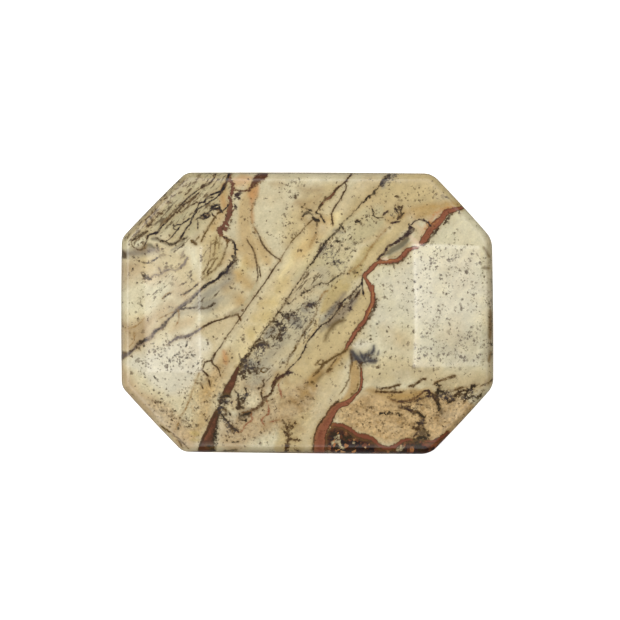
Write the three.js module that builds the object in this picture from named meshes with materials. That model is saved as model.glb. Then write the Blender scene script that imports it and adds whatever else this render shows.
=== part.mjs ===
// A landscape jasper cabochon: a cut-cornered rectangle of polished stone, cut from one piece.
// It has a flat back, a thin girdle, a rounded shoulder and a low dome.
// Millimetres, +Z up. The stone lies on its flat back, with its long side along X.
// The origin is in the middle of the back.

import * as THREE from "three";
import { ParametricGeometry } from "three/addons/geometries/ParametricGeometry.js";
import { mergeVertices } from "three/addons/utils/BufferGeometryUtils.js";

// The eight corners before rounding, clockwise from the left end of the far edge. The stone was cut
// by hand, so no two corners are quite alike. rounding is the radius that each was polished to.
const CORNERS = [
  { x: -13.06, y: 15.1, rounding: 1.7 },
  { x: 13.4, y: 15.0, rounding: 2.2 },
  { x: 19.84, y: 7.99, rounding: 2.6 },
  { x: 19.98, y: -7.87, rounding: 2.2 },
  { x: 13.23, y: -15.14, rounding: 2.4 },
  { x: -13.4, y: -14.9, rounding: 1.7 },
  { x: -19.96, y: -7.91, rounding: 1.7 },
  { x: -19.95, y: 8.07, rounding: 1.7 },
];
const SIDE_BOW = 0.05; // how far the middle of each side stands out from a straight line

const THICKNESS = 5.6; // from the back to the top of the dome
const DOME_RISE = 2.0; // how far the dome falls from its top to the middle of a side
const GIRDLE_TOP = 2.3; // where the girdle's wall ends and the shoulder begins
const GIRDLE_TAPER = 0.17; // how far the wall leans in over its height, to sit in a setting
const BACK_CHAMFER = 0.3; // the small bevel that keeps the back edge from chipping
const SHOULDER_WIDTH = 0.85; // the rounded band between the girdle and the dome

const STEPS_PER_CURVE = 5; // facets along each rounded corner and along each side
const SHOULDER_STEPS = 5;
const DOME_STEPS = 13;
const MERGE_DISTANCE = 1e-4;

const HALF_LENGTH = 20; // from the middle to the girdle at either end, where the dome ends
const HALF_WIDTH = 15.12; // from the middle to the girdle on either long side

// Where a rounded corner starts and ends on the two sides that meet there.
function cornerEnds(i) {
  const at = (k) => CORNERS[(k + CORNERS.length) % CORNERS.length];
  const corner = new THREE.Vector2(at(i).x, at(i).y);
  const towards = (k) => new THREE.Vector2(at(k).x, at(k).y).sub(corner).normalize();
  const before = towards(i - 1);
  const after = towards(i + 1);
  const halfAngle = before.angleTo(after) / 2;
  const reach = at(i).rounding / Math.tan(halfAngle);
  return {
    corner,
    start: corner.clone().addScaledVector(before, reach),
    end: corner.clone().addScaledVector(after, reach),
  };
}

// The girdle's outline: a rounded corner, then a gently bowed side, eight times over.
function girdleOutline() {
  const rounded = CORNERS.map((_, i) => cornerEnds(i));
  const shape = new THREE.Shape();
  shape.moveTo(rounded[0].start.x, rounded[0].start.y);
  rounded.forEach(({ corner, end }, i) => {
    const next = rounded[(i + 1) % rounded.length].start;
    const along = next.clone().sub(end);
    const outward = new THREE.Vector2(-along.y, along.x).normalize();
    const bowed = end.clone().addScaledVector(along, 0.5).addScaledVector(outward, 2 * SIDE_BOW);
    shape.quadraticCurveTo(corner.x, corner.y, end.x, end.y);
    shape.quadraticCurveTo(bowed.x, bowed.y, next.x, next.y);
  });
  const points = shape.getPoints(STEPS_PER_CURVE).slice(0, -1);
  const box = new THREE.Box2().setFromPoints(points);
  const middle = box.getCenter(new THREE.Vector2());
  return points.map((point) => point.sub(middle)).reverse();
}

// The unit direction that points into the stone from each point of an outline that runs
// counter-clockwise.
function inwardDirections(outline) {
  return outline.map((point, i) => {
    const before = outline[(i + outline.length - 1) % outline.length];
    const after = outline[(i + 1) % outline.length];
    const arriving = point.clone().sub(before).normalize();
    const leaving = after.clone().sub(point).normalize();
    const along = arriving.add(leaving).normalize();
    return new THREE.Vector2(-along.y, along.x);
  });
}

function domeHeight(x, y) {
  return THICKNESS - DOME_RISE * ((x / HALF_LENGTH) ** 2 + (y / HALF_WIDTH) ** 2);
}

// The rings of the skin from the middle of the back, round the girdle, to the top of the dome.
// inset moves a ring in from the outline, scale then draws it towards the middle, and lift is how
// far the ring has climbed from the girdle's top, at 0, to the dome, at 1. A ring with a height
// of its own is level.
function skinRings() {
  const rings = [
    { inset: BACK_CHAMFER, scale: 0, height: 0 },
    { inset: BACK_CHAMFER, scale: 1, height: 0 },
    { inset: 0, scale: 1, height: BACK_CHAMFER },
    { inset: GIRDLE_TAPER, scale: 1, height: GIRDLE_TOP },
  ];
  for (let i = 1; i <= SHOULDER_STEPS; i++) {
    const turn = (i / SHOULDER_STEPS) * (Math.PI / 2);
    const inset = GIRDLE_TAPER + SHOULDER_WIDTH * (1 - Math.cos(turn));
    rings.push({ inset, scale: 1, lift: Math.sin(turn) });
  }
  for (let i = DOME_STEPS - 1; i >= 0; i--) {
    rings.push({ inset: GIRDLE_TAPER + SHOULDER_WIDTH, scale: i / DOME_STEPS, lift: 1 });
  }
  return rings;
}

function cabochonGeometry() {
  const outline = girdleOutline();
  const inward = inwardDirections(outline);
  const rings = skinRings();
  const skin = (u, v, target) => {
    const i = Math.round(u * outline.length) % outline.length;
    const ring = rings[Math.round(v * (rings.length - 1))];
    const point = outline[i].clone().addScaledVector(inward[i], ring.inset).multiplyScalar(ring.scale);
    const climbed = GIRDLE_TOP + (domeHeight(point.x, point.y) - GIRDLE_TOP) * ring.lift;
    target.set(point.x, point.y, ring.height ?? climbed);
  };
  const geometry = new ParametricGeometry(skin, outline.length, rings.length - 1);
  geometry.deleteAttribute("normal");
  geometry.deleteAttribute("uv");
  const closed = mergeVertices(geometry, MERGE_DISTANCE);
  closed.computeVertexNormals();
  return closed;
}

const jasper = new THREE.MeshStandardMaterial({ color: 0xc8b68e, roughness: 0.2, metalness: 0 });

const cabochon = new THREE.Mesh(cabochonGeometry(), jasper);
cabochon.name = "cabochon";

const stone = new THREE.Group();
stone.add(cabochon);

export default stone;
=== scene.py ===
import math

import bpy
import numpy as np
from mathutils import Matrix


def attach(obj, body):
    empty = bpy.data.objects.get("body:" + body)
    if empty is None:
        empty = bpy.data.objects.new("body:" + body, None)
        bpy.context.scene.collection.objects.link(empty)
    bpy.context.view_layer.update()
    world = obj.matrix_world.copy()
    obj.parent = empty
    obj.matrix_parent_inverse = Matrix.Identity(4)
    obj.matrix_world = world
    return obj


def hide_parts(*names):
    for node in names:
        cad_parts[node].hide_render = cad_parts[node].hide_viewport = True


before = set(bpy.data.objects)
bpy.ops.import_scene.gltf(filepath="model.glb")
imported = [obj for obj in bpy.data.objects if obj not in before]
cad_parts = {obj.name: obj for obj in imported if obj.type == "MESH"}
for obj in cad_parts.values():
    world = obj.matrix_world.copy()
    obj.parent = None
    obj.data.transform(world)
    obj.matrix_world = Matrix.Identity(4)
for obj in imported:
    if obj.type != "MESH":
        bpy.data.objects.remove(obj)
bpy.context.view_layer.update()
print("frame loaded")

mm = 0.001

# The stone's own sizes, in millimetres. They are the solid's, with more samples.
stoneShape = {
    "corners": [  # x, y and rounding, clockwise from the left end of the far edge
        (-13.06, 15.1, 1.7),
        (13.4, 15.0, 2.2),
        (19.84, 7.99, 2.6),
        (19.98, -7.87, 2.2),
        (13.23, -15.14, 2.4),
        (-13.4, -14.9, 1.7),
        (-19.96, -7.91, 1.7),
        (-19.95, 8.07, 1.7),
    ],
    "sideBow": 0.05,
    "halfLength": 20.0,
    "halfWidth": 15.12,
    "thickness": 5.6,
    "domeRise": 2.0,
    "girdleTop": 2.3,
    "girdleTaper": 0.17,
    "backChamfer": 0.3,
    "shoulderWidth": 0.85,
    "cornerSamples": 14,
    "sideSamples": 22,
    "backRings": 6,
    "wallRings": 6,
    "shoulderRings": 16,
    "domeRings": 44,
    "sharpEdge": 30,  # degrees; the chamfer's edges stay crisp
}

# The camera looks straight down, from far off.
cameraSetup = {
    "lens": 200.0,
    "sensor": 36.0,
    "middle": (0.295, 0.3375),  # millimetres, the point of the stone under the middle of the view
    "frameWidth": 66.6,  # millimetres across the view, at the girdle
    "girdleHeight": 0.3,
}

# The drawing that the markings are laid out on: x runs right and y down.
drawing = {
    "unit": 0.10742,  # millimetres of stone to one unit of the drawing
    "middle": (307.25, 313.15),  # where the middle of the stone falls
}


def unitVectors(vectors):
    return vectors / np.linalg.norm(vectors, axis=1, keepdims=True)


def curveSamples(start, control, end, count):
    # For t from 0 to just under 1: (1 - t)^2 start + 2 t (1 - t) control + t^2 end.
    t = (np.arange(count) / count)[None, :, None]
    start, control, end = start[:, None], control[:, None], end[:, None]
    return (1 - t) ** 2 * start + 2 * t * (1 - t) * control + t ** 2 * end


def stoneOutline(shape):
    # Each rounded corner is a curve from side to side with the corner as its control point, and
    # each side is one whose control point stands out from its middle by twice the bow.
    corners = np.array(shape["corners"])
    points = corners[:, :2]
    towardsLast = unitVectors(np.roll(points, 1, axis=0) - points)
    towardsNext = unitVectors(np.roll(points, -1, axis=0) - points)
    halfAngle = np.arccos(np.sum(towardsLast * towardsNext, axis=1)) / 2
    reach = (corners[:, 2] / np.tan(halfAngle))[:, None]
    starts = points + towardsLast * reach
    ends = points + towardsNext * reach
    nextStarts = np.roll(starts, -1, axis=0)
    along = nextStarts - ends
    outward = unitVectors(np.stack([-along[:, 1], along[:, 0]], axis=1))
    bowed = (ends + nextStarts) / 2 + outward * 2 * shape["sideBow"]
    rounded = curveSamples(starts, points, ends, shape["cornerSamples"])
    sides = curveSamples(ends, bowed, nextStarts, shape["sideSamples"])
    outline = np.concatenate([rounded, sides], axis=1).reshape(-1, 2)
    middle = (outline.min(axis=0) + outline.max(axis=0)) / 2
    return (outline - middle)[::-1]


def domeHeight(x, y, shape):
    # The thickness, less the rise times the squares of x and y as shares of the half sizes.
    return shape["thickness"] - shape["domeRise"] * (
        (x / shape["halfLength"]) ** 2 + (y / shape["halfWidth"]) ** 2
    )


def skinProfile(shape):
    # Each row is a ring of the skin: how far it is inset, its scale, its lift from the girdle's
    # top (0) to the dome (1), and its level where it has one of its own.
    none = np.nan
    taper, width = shape["girdleTaper"], shape["shoulderWidth"]
    chamfer, top = shape["backChamfer"], shape["girdleTop"]
    back = [(chamfer, s, 0, 0) for s in np.arange(1, shape["backRings"] + 1) / shape["backRings"]]
    wall = [
        (taper * s, 1, 0, chamfer + (top - chamfer) * s)
        for s in np.linspace(0, 1, shape["wallRings"])
    ]
    turns = np.arange(1, shape["shoulderRings"] + 1) / shape["shoulderRings"] * math.pi / 2
    shoulder = [(taper + width * (1 - math.cos(t)), 1, math.sin(t), none) for t in turns]
    scales = 1 - np.arange(1, shape["domeRings"]) / shape["domeRings"]
    dome = [(taper + width, s, 1, none) for s in scales]
    return np.array(back + wall + shoulder + dome)


def stoneSkin(shape):
    # For outline point a and ring r: the point moved inwards by the ring's inset, times its scale.
    # The height is girdleTop + (dome - girdleTop) * lift, or the ring's own level.
    outline = stoneOutline(shape)
    arriving = unitVectors(outline - np.roll(outline, 1, axis=0))
    leaving = unitVectors(np.roll(outline, -1, axis=0) - outline)
    along = unitVectors(arriving + leaving)
    inward = np.stack([-along[:, 1], along[:, 0]], axis=1)
    inset, scale, lift, level = skinProfile(shape).T[:, :, None]
    plan = (outline[None] + inward[None] * inset[..., None]) * scale[..., None]
    x, y = plan[..., 0], plan[..., 1]
    climbed = shape["girdleTop"] + (domeHeight(x, y, shape) - shape["girdleTop"]) * lift
    z = np.where(np.isnan(level), climbed, level)
    return np.stack([x, y, z], axis=-1)


def closedMesh(name, rings, lowPole, highPole):
    # Quads join each ring to the next one, and a fan of triangles closes each end on its pole.
    ringCount, around = rings.shape[:2]
    index = np.arange(ringCount * around).reshape(ringCount, around)
    following = np.roll(index, -1, axis=1)
    quads = np.stack([index[:-1], following[:-1], following[1:], index[1:]], axis=-1).reshape(-1, 4)
    low = np.full(around, ringCount * around)
    high = low + 1
    fans = np.concatenate([
        np.stack([low, following[0], index[0]], axis=-1),
        np.stack([high, index[-1], following[-1]], axis=-1),
    ])
    vertices = np.concatenate([rings.reshape(-1, 3), [lowPole, highPole]]) * mm
    mesh = bpy.data.meshes.new(name)
    mesh.from_pydata(vertices.tolist(), [], quads.tolist() + fans.tolist())
    mesh.validate()
    return mesh


def makeStone(shape):
    mesh = closedMesh("polishedCabochon", stoneSkin(shape), (0, 0, 0), (0, 0, shape["thickness"]))
    mesh.polygons.foreach_set("use_smooth", np.ones(len(mesh.polygons), dtype=bool))
    mesh.set_sharp_from_angle(angle=math.radians(shape["sharpEdge"]))
    stone = bpy.data.objects.new("polishedCabochon", mesh)
    bpy.context.scene.collection.objects.link(stone)
    return stone


stone = makeStone(stoneShape)
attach(stone, "root")
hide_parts("cabochon")
print("stone's skin made:", len(stone.data.polygons), "faces")


def onStone(x, y):
    # The point of the stone, in millimetres, that the camera sees at a place of the drawing. It
    # stands higher than the girdle, so it is nearer to the middle of the view than it looks.
    farOff = cameraSetup["frameWidth"] * cameraSetup["lens"] / cameraSetup["sensor"]
    viewX, viewY = cameraSetup["middle"]
    flatX = (x - drawing["middle"][0]) * drawing["unit"]
    flatY = (drawing["middle"][1] - y) * drawing["unit"]
    height = max(domeHeight(flatX, flatY, stoneShape), stoneShape["girdleTop"])
    nearer = 1 - (height - cameraSetup["girdleHeight"]) / farOff
    return viewX + (flatX - viewX) * nearer, viewY + (flatY - viewY) * nearer


# The colours of the jasper, as they look on the screen, from 0 to 255.
colours = {
    "paleCream": (221, 213, 187),
    "cream": (219, 210, 175),
    "topCream": (208, 196, 160),
    "greyCream": (196, 184, 150),
    "buff": (206, 188, 146),
    "tan": (200, 179, 131),
    "pinkTan": (192, 167, 127),
    "pinkCream": (226, 200, 168),
    "pinkBuff": (206, 170, 126),
    "ochre": (227, 208, 156),
    "yellowOchre": (203, 180, 122),
    "sandTan": (198, 167, 119),
    "greyTan": (184, 166, 126),
    "deepOchre": (184, 149, 90),
    "oliveOchre": (184, 162, 105),
    "brownOchre": (150, 116, 66),
    "olive": (190, 178, 139),
    "sage": (197, 184, 142),
    "greySage": (192, 180, 146),
    "blueGrey": (150, 143, 124),
    "mauveGrey": (130, 116, 98),
    "mauveSlate": (104, 92, 84),
    "slate": (78, 67, 53),
    "slateBlue": (104, 102, 98),
    "slateGreen": (112, 104, 82),
    "orange": (194, 134, 80),
    "rust": (146, 90, 64),
    "redRust": (130, 76, 54),
    "maroon": (90, 57, 38),
    "redMaroon": (112, 72, 54),
    "darkMaroon": (70, 42, 28),
    "bronze": (98, 76, 40),
    "umber": (72, 52, 24),
    "plum": (62, 46, 42),
    "inkBlue": (62, 60, 66),
    "greenBlack": (56, 46, 27),
    "black": (40, 32, 16),
}

# Broad areas of colour, from the first painted to the last. Each has its colour, its cover, how wide
# its edge fades, how far the edge wanders, and its runs. A run is a list of points, each with its x,
# y and half-width on the drawing. A point that is in no run is a round spot.
washes = {
    "cream field at the right": ("cream", 1.0, 12, 4, [[(440, 212, 30), (440, 240, 54), (434, 290, 66),
        (434, 340, 66), (434, 378, 62)]]),
    "pale heart of the right field": ("paleCream", 0.7, 24, 8, [[(390, 285, 14), (440, 290, 34),
        (480, 300, 24)], [(370, 300, 6), (384, 320, 12)]]),
    "shaded lower part of the right field": ("buff", 0.8, 16, 8, [[(372, 372, 10), (400, 368, 14),
        (440, 378, 10), (480, 378, 8)], [(384, 330, 5), (405, 340, 9)]]),
    "grey patch at the right": ("blueGrey", 0.34, 16, 10, [[(428, 350, 6), (450, 346, 14), (480, 340, 14)],
        [(452, 360, 8), (484, 356, 10)]]),
    "top cream": ("topCream", 1.0, 10, 3, [[(272, 176, 15), (274, 205, 24), (276, 240, 12)],
        [(276, 190, 14), (345, 182, 14)]]),
    "tan in the top cream": ("tan", 0.85, 12, 5, [[(290, 240, 8), (304, 214, 12), (322, 196, 12),
        (336, 186, 5)]]),
    "buff right of the fork": ("buff", 0.9, 8, 3, [[(338, 214, 6), (356, 196, 10), (372, 178, 9)]]),
    "tan at the top right": ("tan", 1.0, 8, 3, [[(352, 226, 16), (380, 205, 20), (410, 194, 24),
        (456, 188, 22)]]),
    "ochre over the rust vein": ("deepOchre", 1.0, 7, 2, [[(402, 222, 3), (413, 214, 6), (428, 212, 7),
        (440, 207, 4), (458, 204, 3)]]),
    "ochre round the arch": ("deepOchre", 0.6, 5, 3, [[(404, 223, 2), (413, 216, 4), (424, 214, 5),
        (434, 214, 4)]]),
    "ochre beside the dark wedge": ("deepOchre", 0.45, 7, 5, [[(364, 240, 4), (378, 230, 5),
        (394, 221, 4)]]),
    "brown in the dark wedge": ("olive", 0.7, 3, 4, [[(390, 254, 2.4), (399, 247, 2.6), (406, 241, 2)]]),
    "pink under the arch": ("pinkBuff", 0.6, 4, 4, [[(415, 227, 3), (421, 231, 3.5), (419, 238, 3)]]),
    "ochre at the top edge": ("deepOchre", 0.55, 7, 5, [[(242, 176, 4), (248, 186, 5), (252, 194, 4)],
        [(222, 178, 4), (226, 190, 4)]]),
    "ochre band": ("ochre", 1.0, 7, 3, [[(334, 218, 9), (312, 250, 15), (287, 290, 17), (262, 330, 17),
        (242, 362, 13)]]),
    "deep top of the ochre band": ("deepOchre", 0.6, 12, 5, [[(326, 222, 8), (314, 238, 9),
        (300, 256, 6)]]),
    "pale streaks in the ochre band": ("buff", 0.7, 8, 3, [[(275, 282, 4), (264, 298, 5), (244, 340, 8)],
        [(300, 262, 4), (290, 276, 5)], [(236, 350, 5), (226, 372, 5)]]),
    "yellow streaks in the ochre band": ("yellowOchre", 0.75, 7, 4, [[(288, 278, 4), (280, 288, 5)],
        [(262, 304, 4), (278, 302, 4)], [(258, 318, 6), (270, 314, 5)], [(252, 334, 6), (258, 326, 4)],
        [(244, 262, 5), (242, 274, 6)]]),
    "buff left of the thin vein": ("buff", 0.9, 9, 3, [[(202, 342, 14), (220, 326, 8), (236, 320, 4)],
        [(216, 306, 8), (236, 292, 12), (248, 276, 6)]]),
    "grey band, upper part": ("sage", 0.9, 6, 3, [[(376, 216, 12), (358, 226, 15), (342, 242, 16),
        (328, 262, 18), (312, 286, 20)]]),
    "grey band, lower part": ("greySage", 0.9, 8, 3, [[(318, 278, 14), (302, 306, 19), (284, 336, 20),
        (264, 366, 18), (246, 396, 14), (232, 420, 10)]]),
    "tan band": ("oliveOchre", 0.85, 6, 2, [[(386, 236, 3), (372, 249, 5), (360, 263, 6), (348, 277, 7),
        (336, 292, 8), (326, 310, 6)]]),
    "tan right of the black vein": ("tan", 0.95, 5, 3, [[(346, 306, 4), (332, 326, 6), (318, 340, 7),
        (306, 358, 8), (294, 376, 8), (284, 392, 8)], [(318, 322, 2), (307, 338, 3), (297, 354, 3.4),
        (285, 369, 4), (274, 382, 4)]]),
    "pink tan in the low grey band": ("pinkTan", 0.7, 8, 5, [[(242, 386, 6), (258, 392, 8), (266, 384, 5)],
        [(236, 404, 6), (252, 402, 7)]]),
    "ochre left of the wedge": ("deepOchre", 0.5, 7, 7, [[(214, 380, 4), (222, 364, 5)], [(204, 396, 4),
        (210, 386, 4)]]),
    "tan by the main vein": ("tan", 1.0, 4, 2, [[(368, 288, 3), (362, 306, 8), (352, 324, 11),
        (338, 346, 15), (320, 372, 20), (304, 400, 22), (300, 450, 24)]]),
    "cream left of the lower vein": ("buff", 0.9, 10, 4, [[(340, 378, 6), (332, 390, 9), (324, 406, 8)],
        [(318, 420, 4), (306, 432, 7), (306, 446, 5)]]),
    "tan right of the lower vein": ("sandTan", 0.95, 8, 5, [[(348, 414, 14), (400, 418, 24), (440, 419, 24),
        (462, 414, 16)]]),
    "tan left of the lower vein": ("pinkTan", 0.75, 3.5, 2, [[(355, 366, 3), (355.5, 376, 4),
        (351.5, 388, 4.4), (344, 398, 3)]]),
    "grey tan over the shelf": ("greyTan", 0.5, 10, 6, [[(368, 380, 4), (392, 376, 5), (414, 370, 5),
        (434, 370, 5)]]),
    "grey tan at the lower right": ("greyTan", 0.75, 12, 6, [[(428, 384, 5), (446, 388, 9), (470, 388, 10),
        (488, 380, 5)]]),
    "tan beside the dark branch": ("tan", 0.95, 5, 3, [[(366, 270, 3), (376, 254, 5), (388, 240, 6),
        (400, 228, 6), (410, 220, 4)]]),
    "ochre shelf at the lower right": ("deepOchre", 0.75, 5, 3, [[(366, 392, 2), (380, 393, 4),
        (398, 394, 5), (420, 393, 5), (432, 393, 3)]]),
    "tan at the bottom": ("pinkTan", 0.8, 10, 5, [[(234, 436, 16), (262, 422, 14), (292, 402, 16),
        (312, 392, 10)]]),
    "cream at the bottom": ("cream", 0.6, 8, 5, [[(256, 446, 5), (270, 438, 8), (276, 426, 4)],
        [(244, 396, 5), (252, 402, 7)], [(228, 404, 3), (232, 412, 5)]]),
    "olive corner": ("olive", 1.0, 6, 3, [[(128, 243, 6), (150, 220, 20), (188, 196, 26), (222, 178, 15)],
        [(178, 236, 8), (200, 220, 8), (216, 202, 6)]]),
    "buff flush in the olive corner": ("pinkTan", 0.5, 10, 6, [[(134, 232, 6), (160, 204, 6)],
        [(204, 180, 3), (214, 178, 3)], [(204, 196, 2), (214, 190, 3)]]),
    "cream at the left": ("cream", 1.0, 12, 5, [[(128, 298, 18), (155, 282, 24), (192, 256, 14)],
        [(134, 246, 3), (142, 243, 4)], [(176, 330, 6), (196, 316, 8)]]),
    "pink tan at the left": ("pinkTan", 0.7, 12, 6, [[(124, 338, 14), (152, 322, 8), (172, 306, 4)],
        [(124, 272, 10), (150, 270, 6)], [(174, 280, 4), (182, 292, 5)]]),
    "tan at the upper left": ("tan", 0.7, 10, 5, [[(150, 264, 10), (176, 262, 12), (188, 280, 9)],
        [(148, 254, 5), (172, 246, 6)], [(176, 326, 5), (190, 318, 5)]]),
    "pink tan patches at the left": ("pinkTan", 0.6, 8, 7, [[(150, 280, 5), (162, 276, 6)], [(174, 328, 5),
        (188, 322, 6)]]),
    "ochre under the maroon vein": ("deepOchre", 0.45, 8, 6, [[(224, 260, 5), (236, 250, 5)],
        [(224, 284, 4), (234, 276, 5)]]),
    "brown blush at the left edge": ("brownOchre", 0.4, 8, 8, [[(124, 270, 4), (134, 268, 4)],
        [(124, 326, 4), (136, 334, 6), (150, 324, 3)]]),
    "grey under the black vein": ("blueGrey", 0.42, 7, 6, [[(176, 312, 3), (194, 309, 4), (212, 305, 4),
        (222, 296, 4)]]),
    "buff below the maroon vein": ("tan", 0.8, 9, 3, [[(206, 254, 10), (212, 228, 6)]]),
    "cream at the lower left": ("paleCream", 0.9, 12, 5, [[(136, 362, 7), (158, 370, 20), (180, 366, 26),
        (194, 348, 14)]]),
    "tan at the lower left edge": ("pinkTan", 0.9, 10, 5, [[(122, 366, 4), (130, 390, 8), (156, 412, 12),
        (184, 440, 12)]]),
    "ochre by the foot of the thin vein": ("deepOchre", 0.65, 12, 6, [[(226, 356, 5), (216, 378, 10),
        (206, 396, 10), (204, 414, 8), (194, 438, 5)]]),
}

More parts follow.
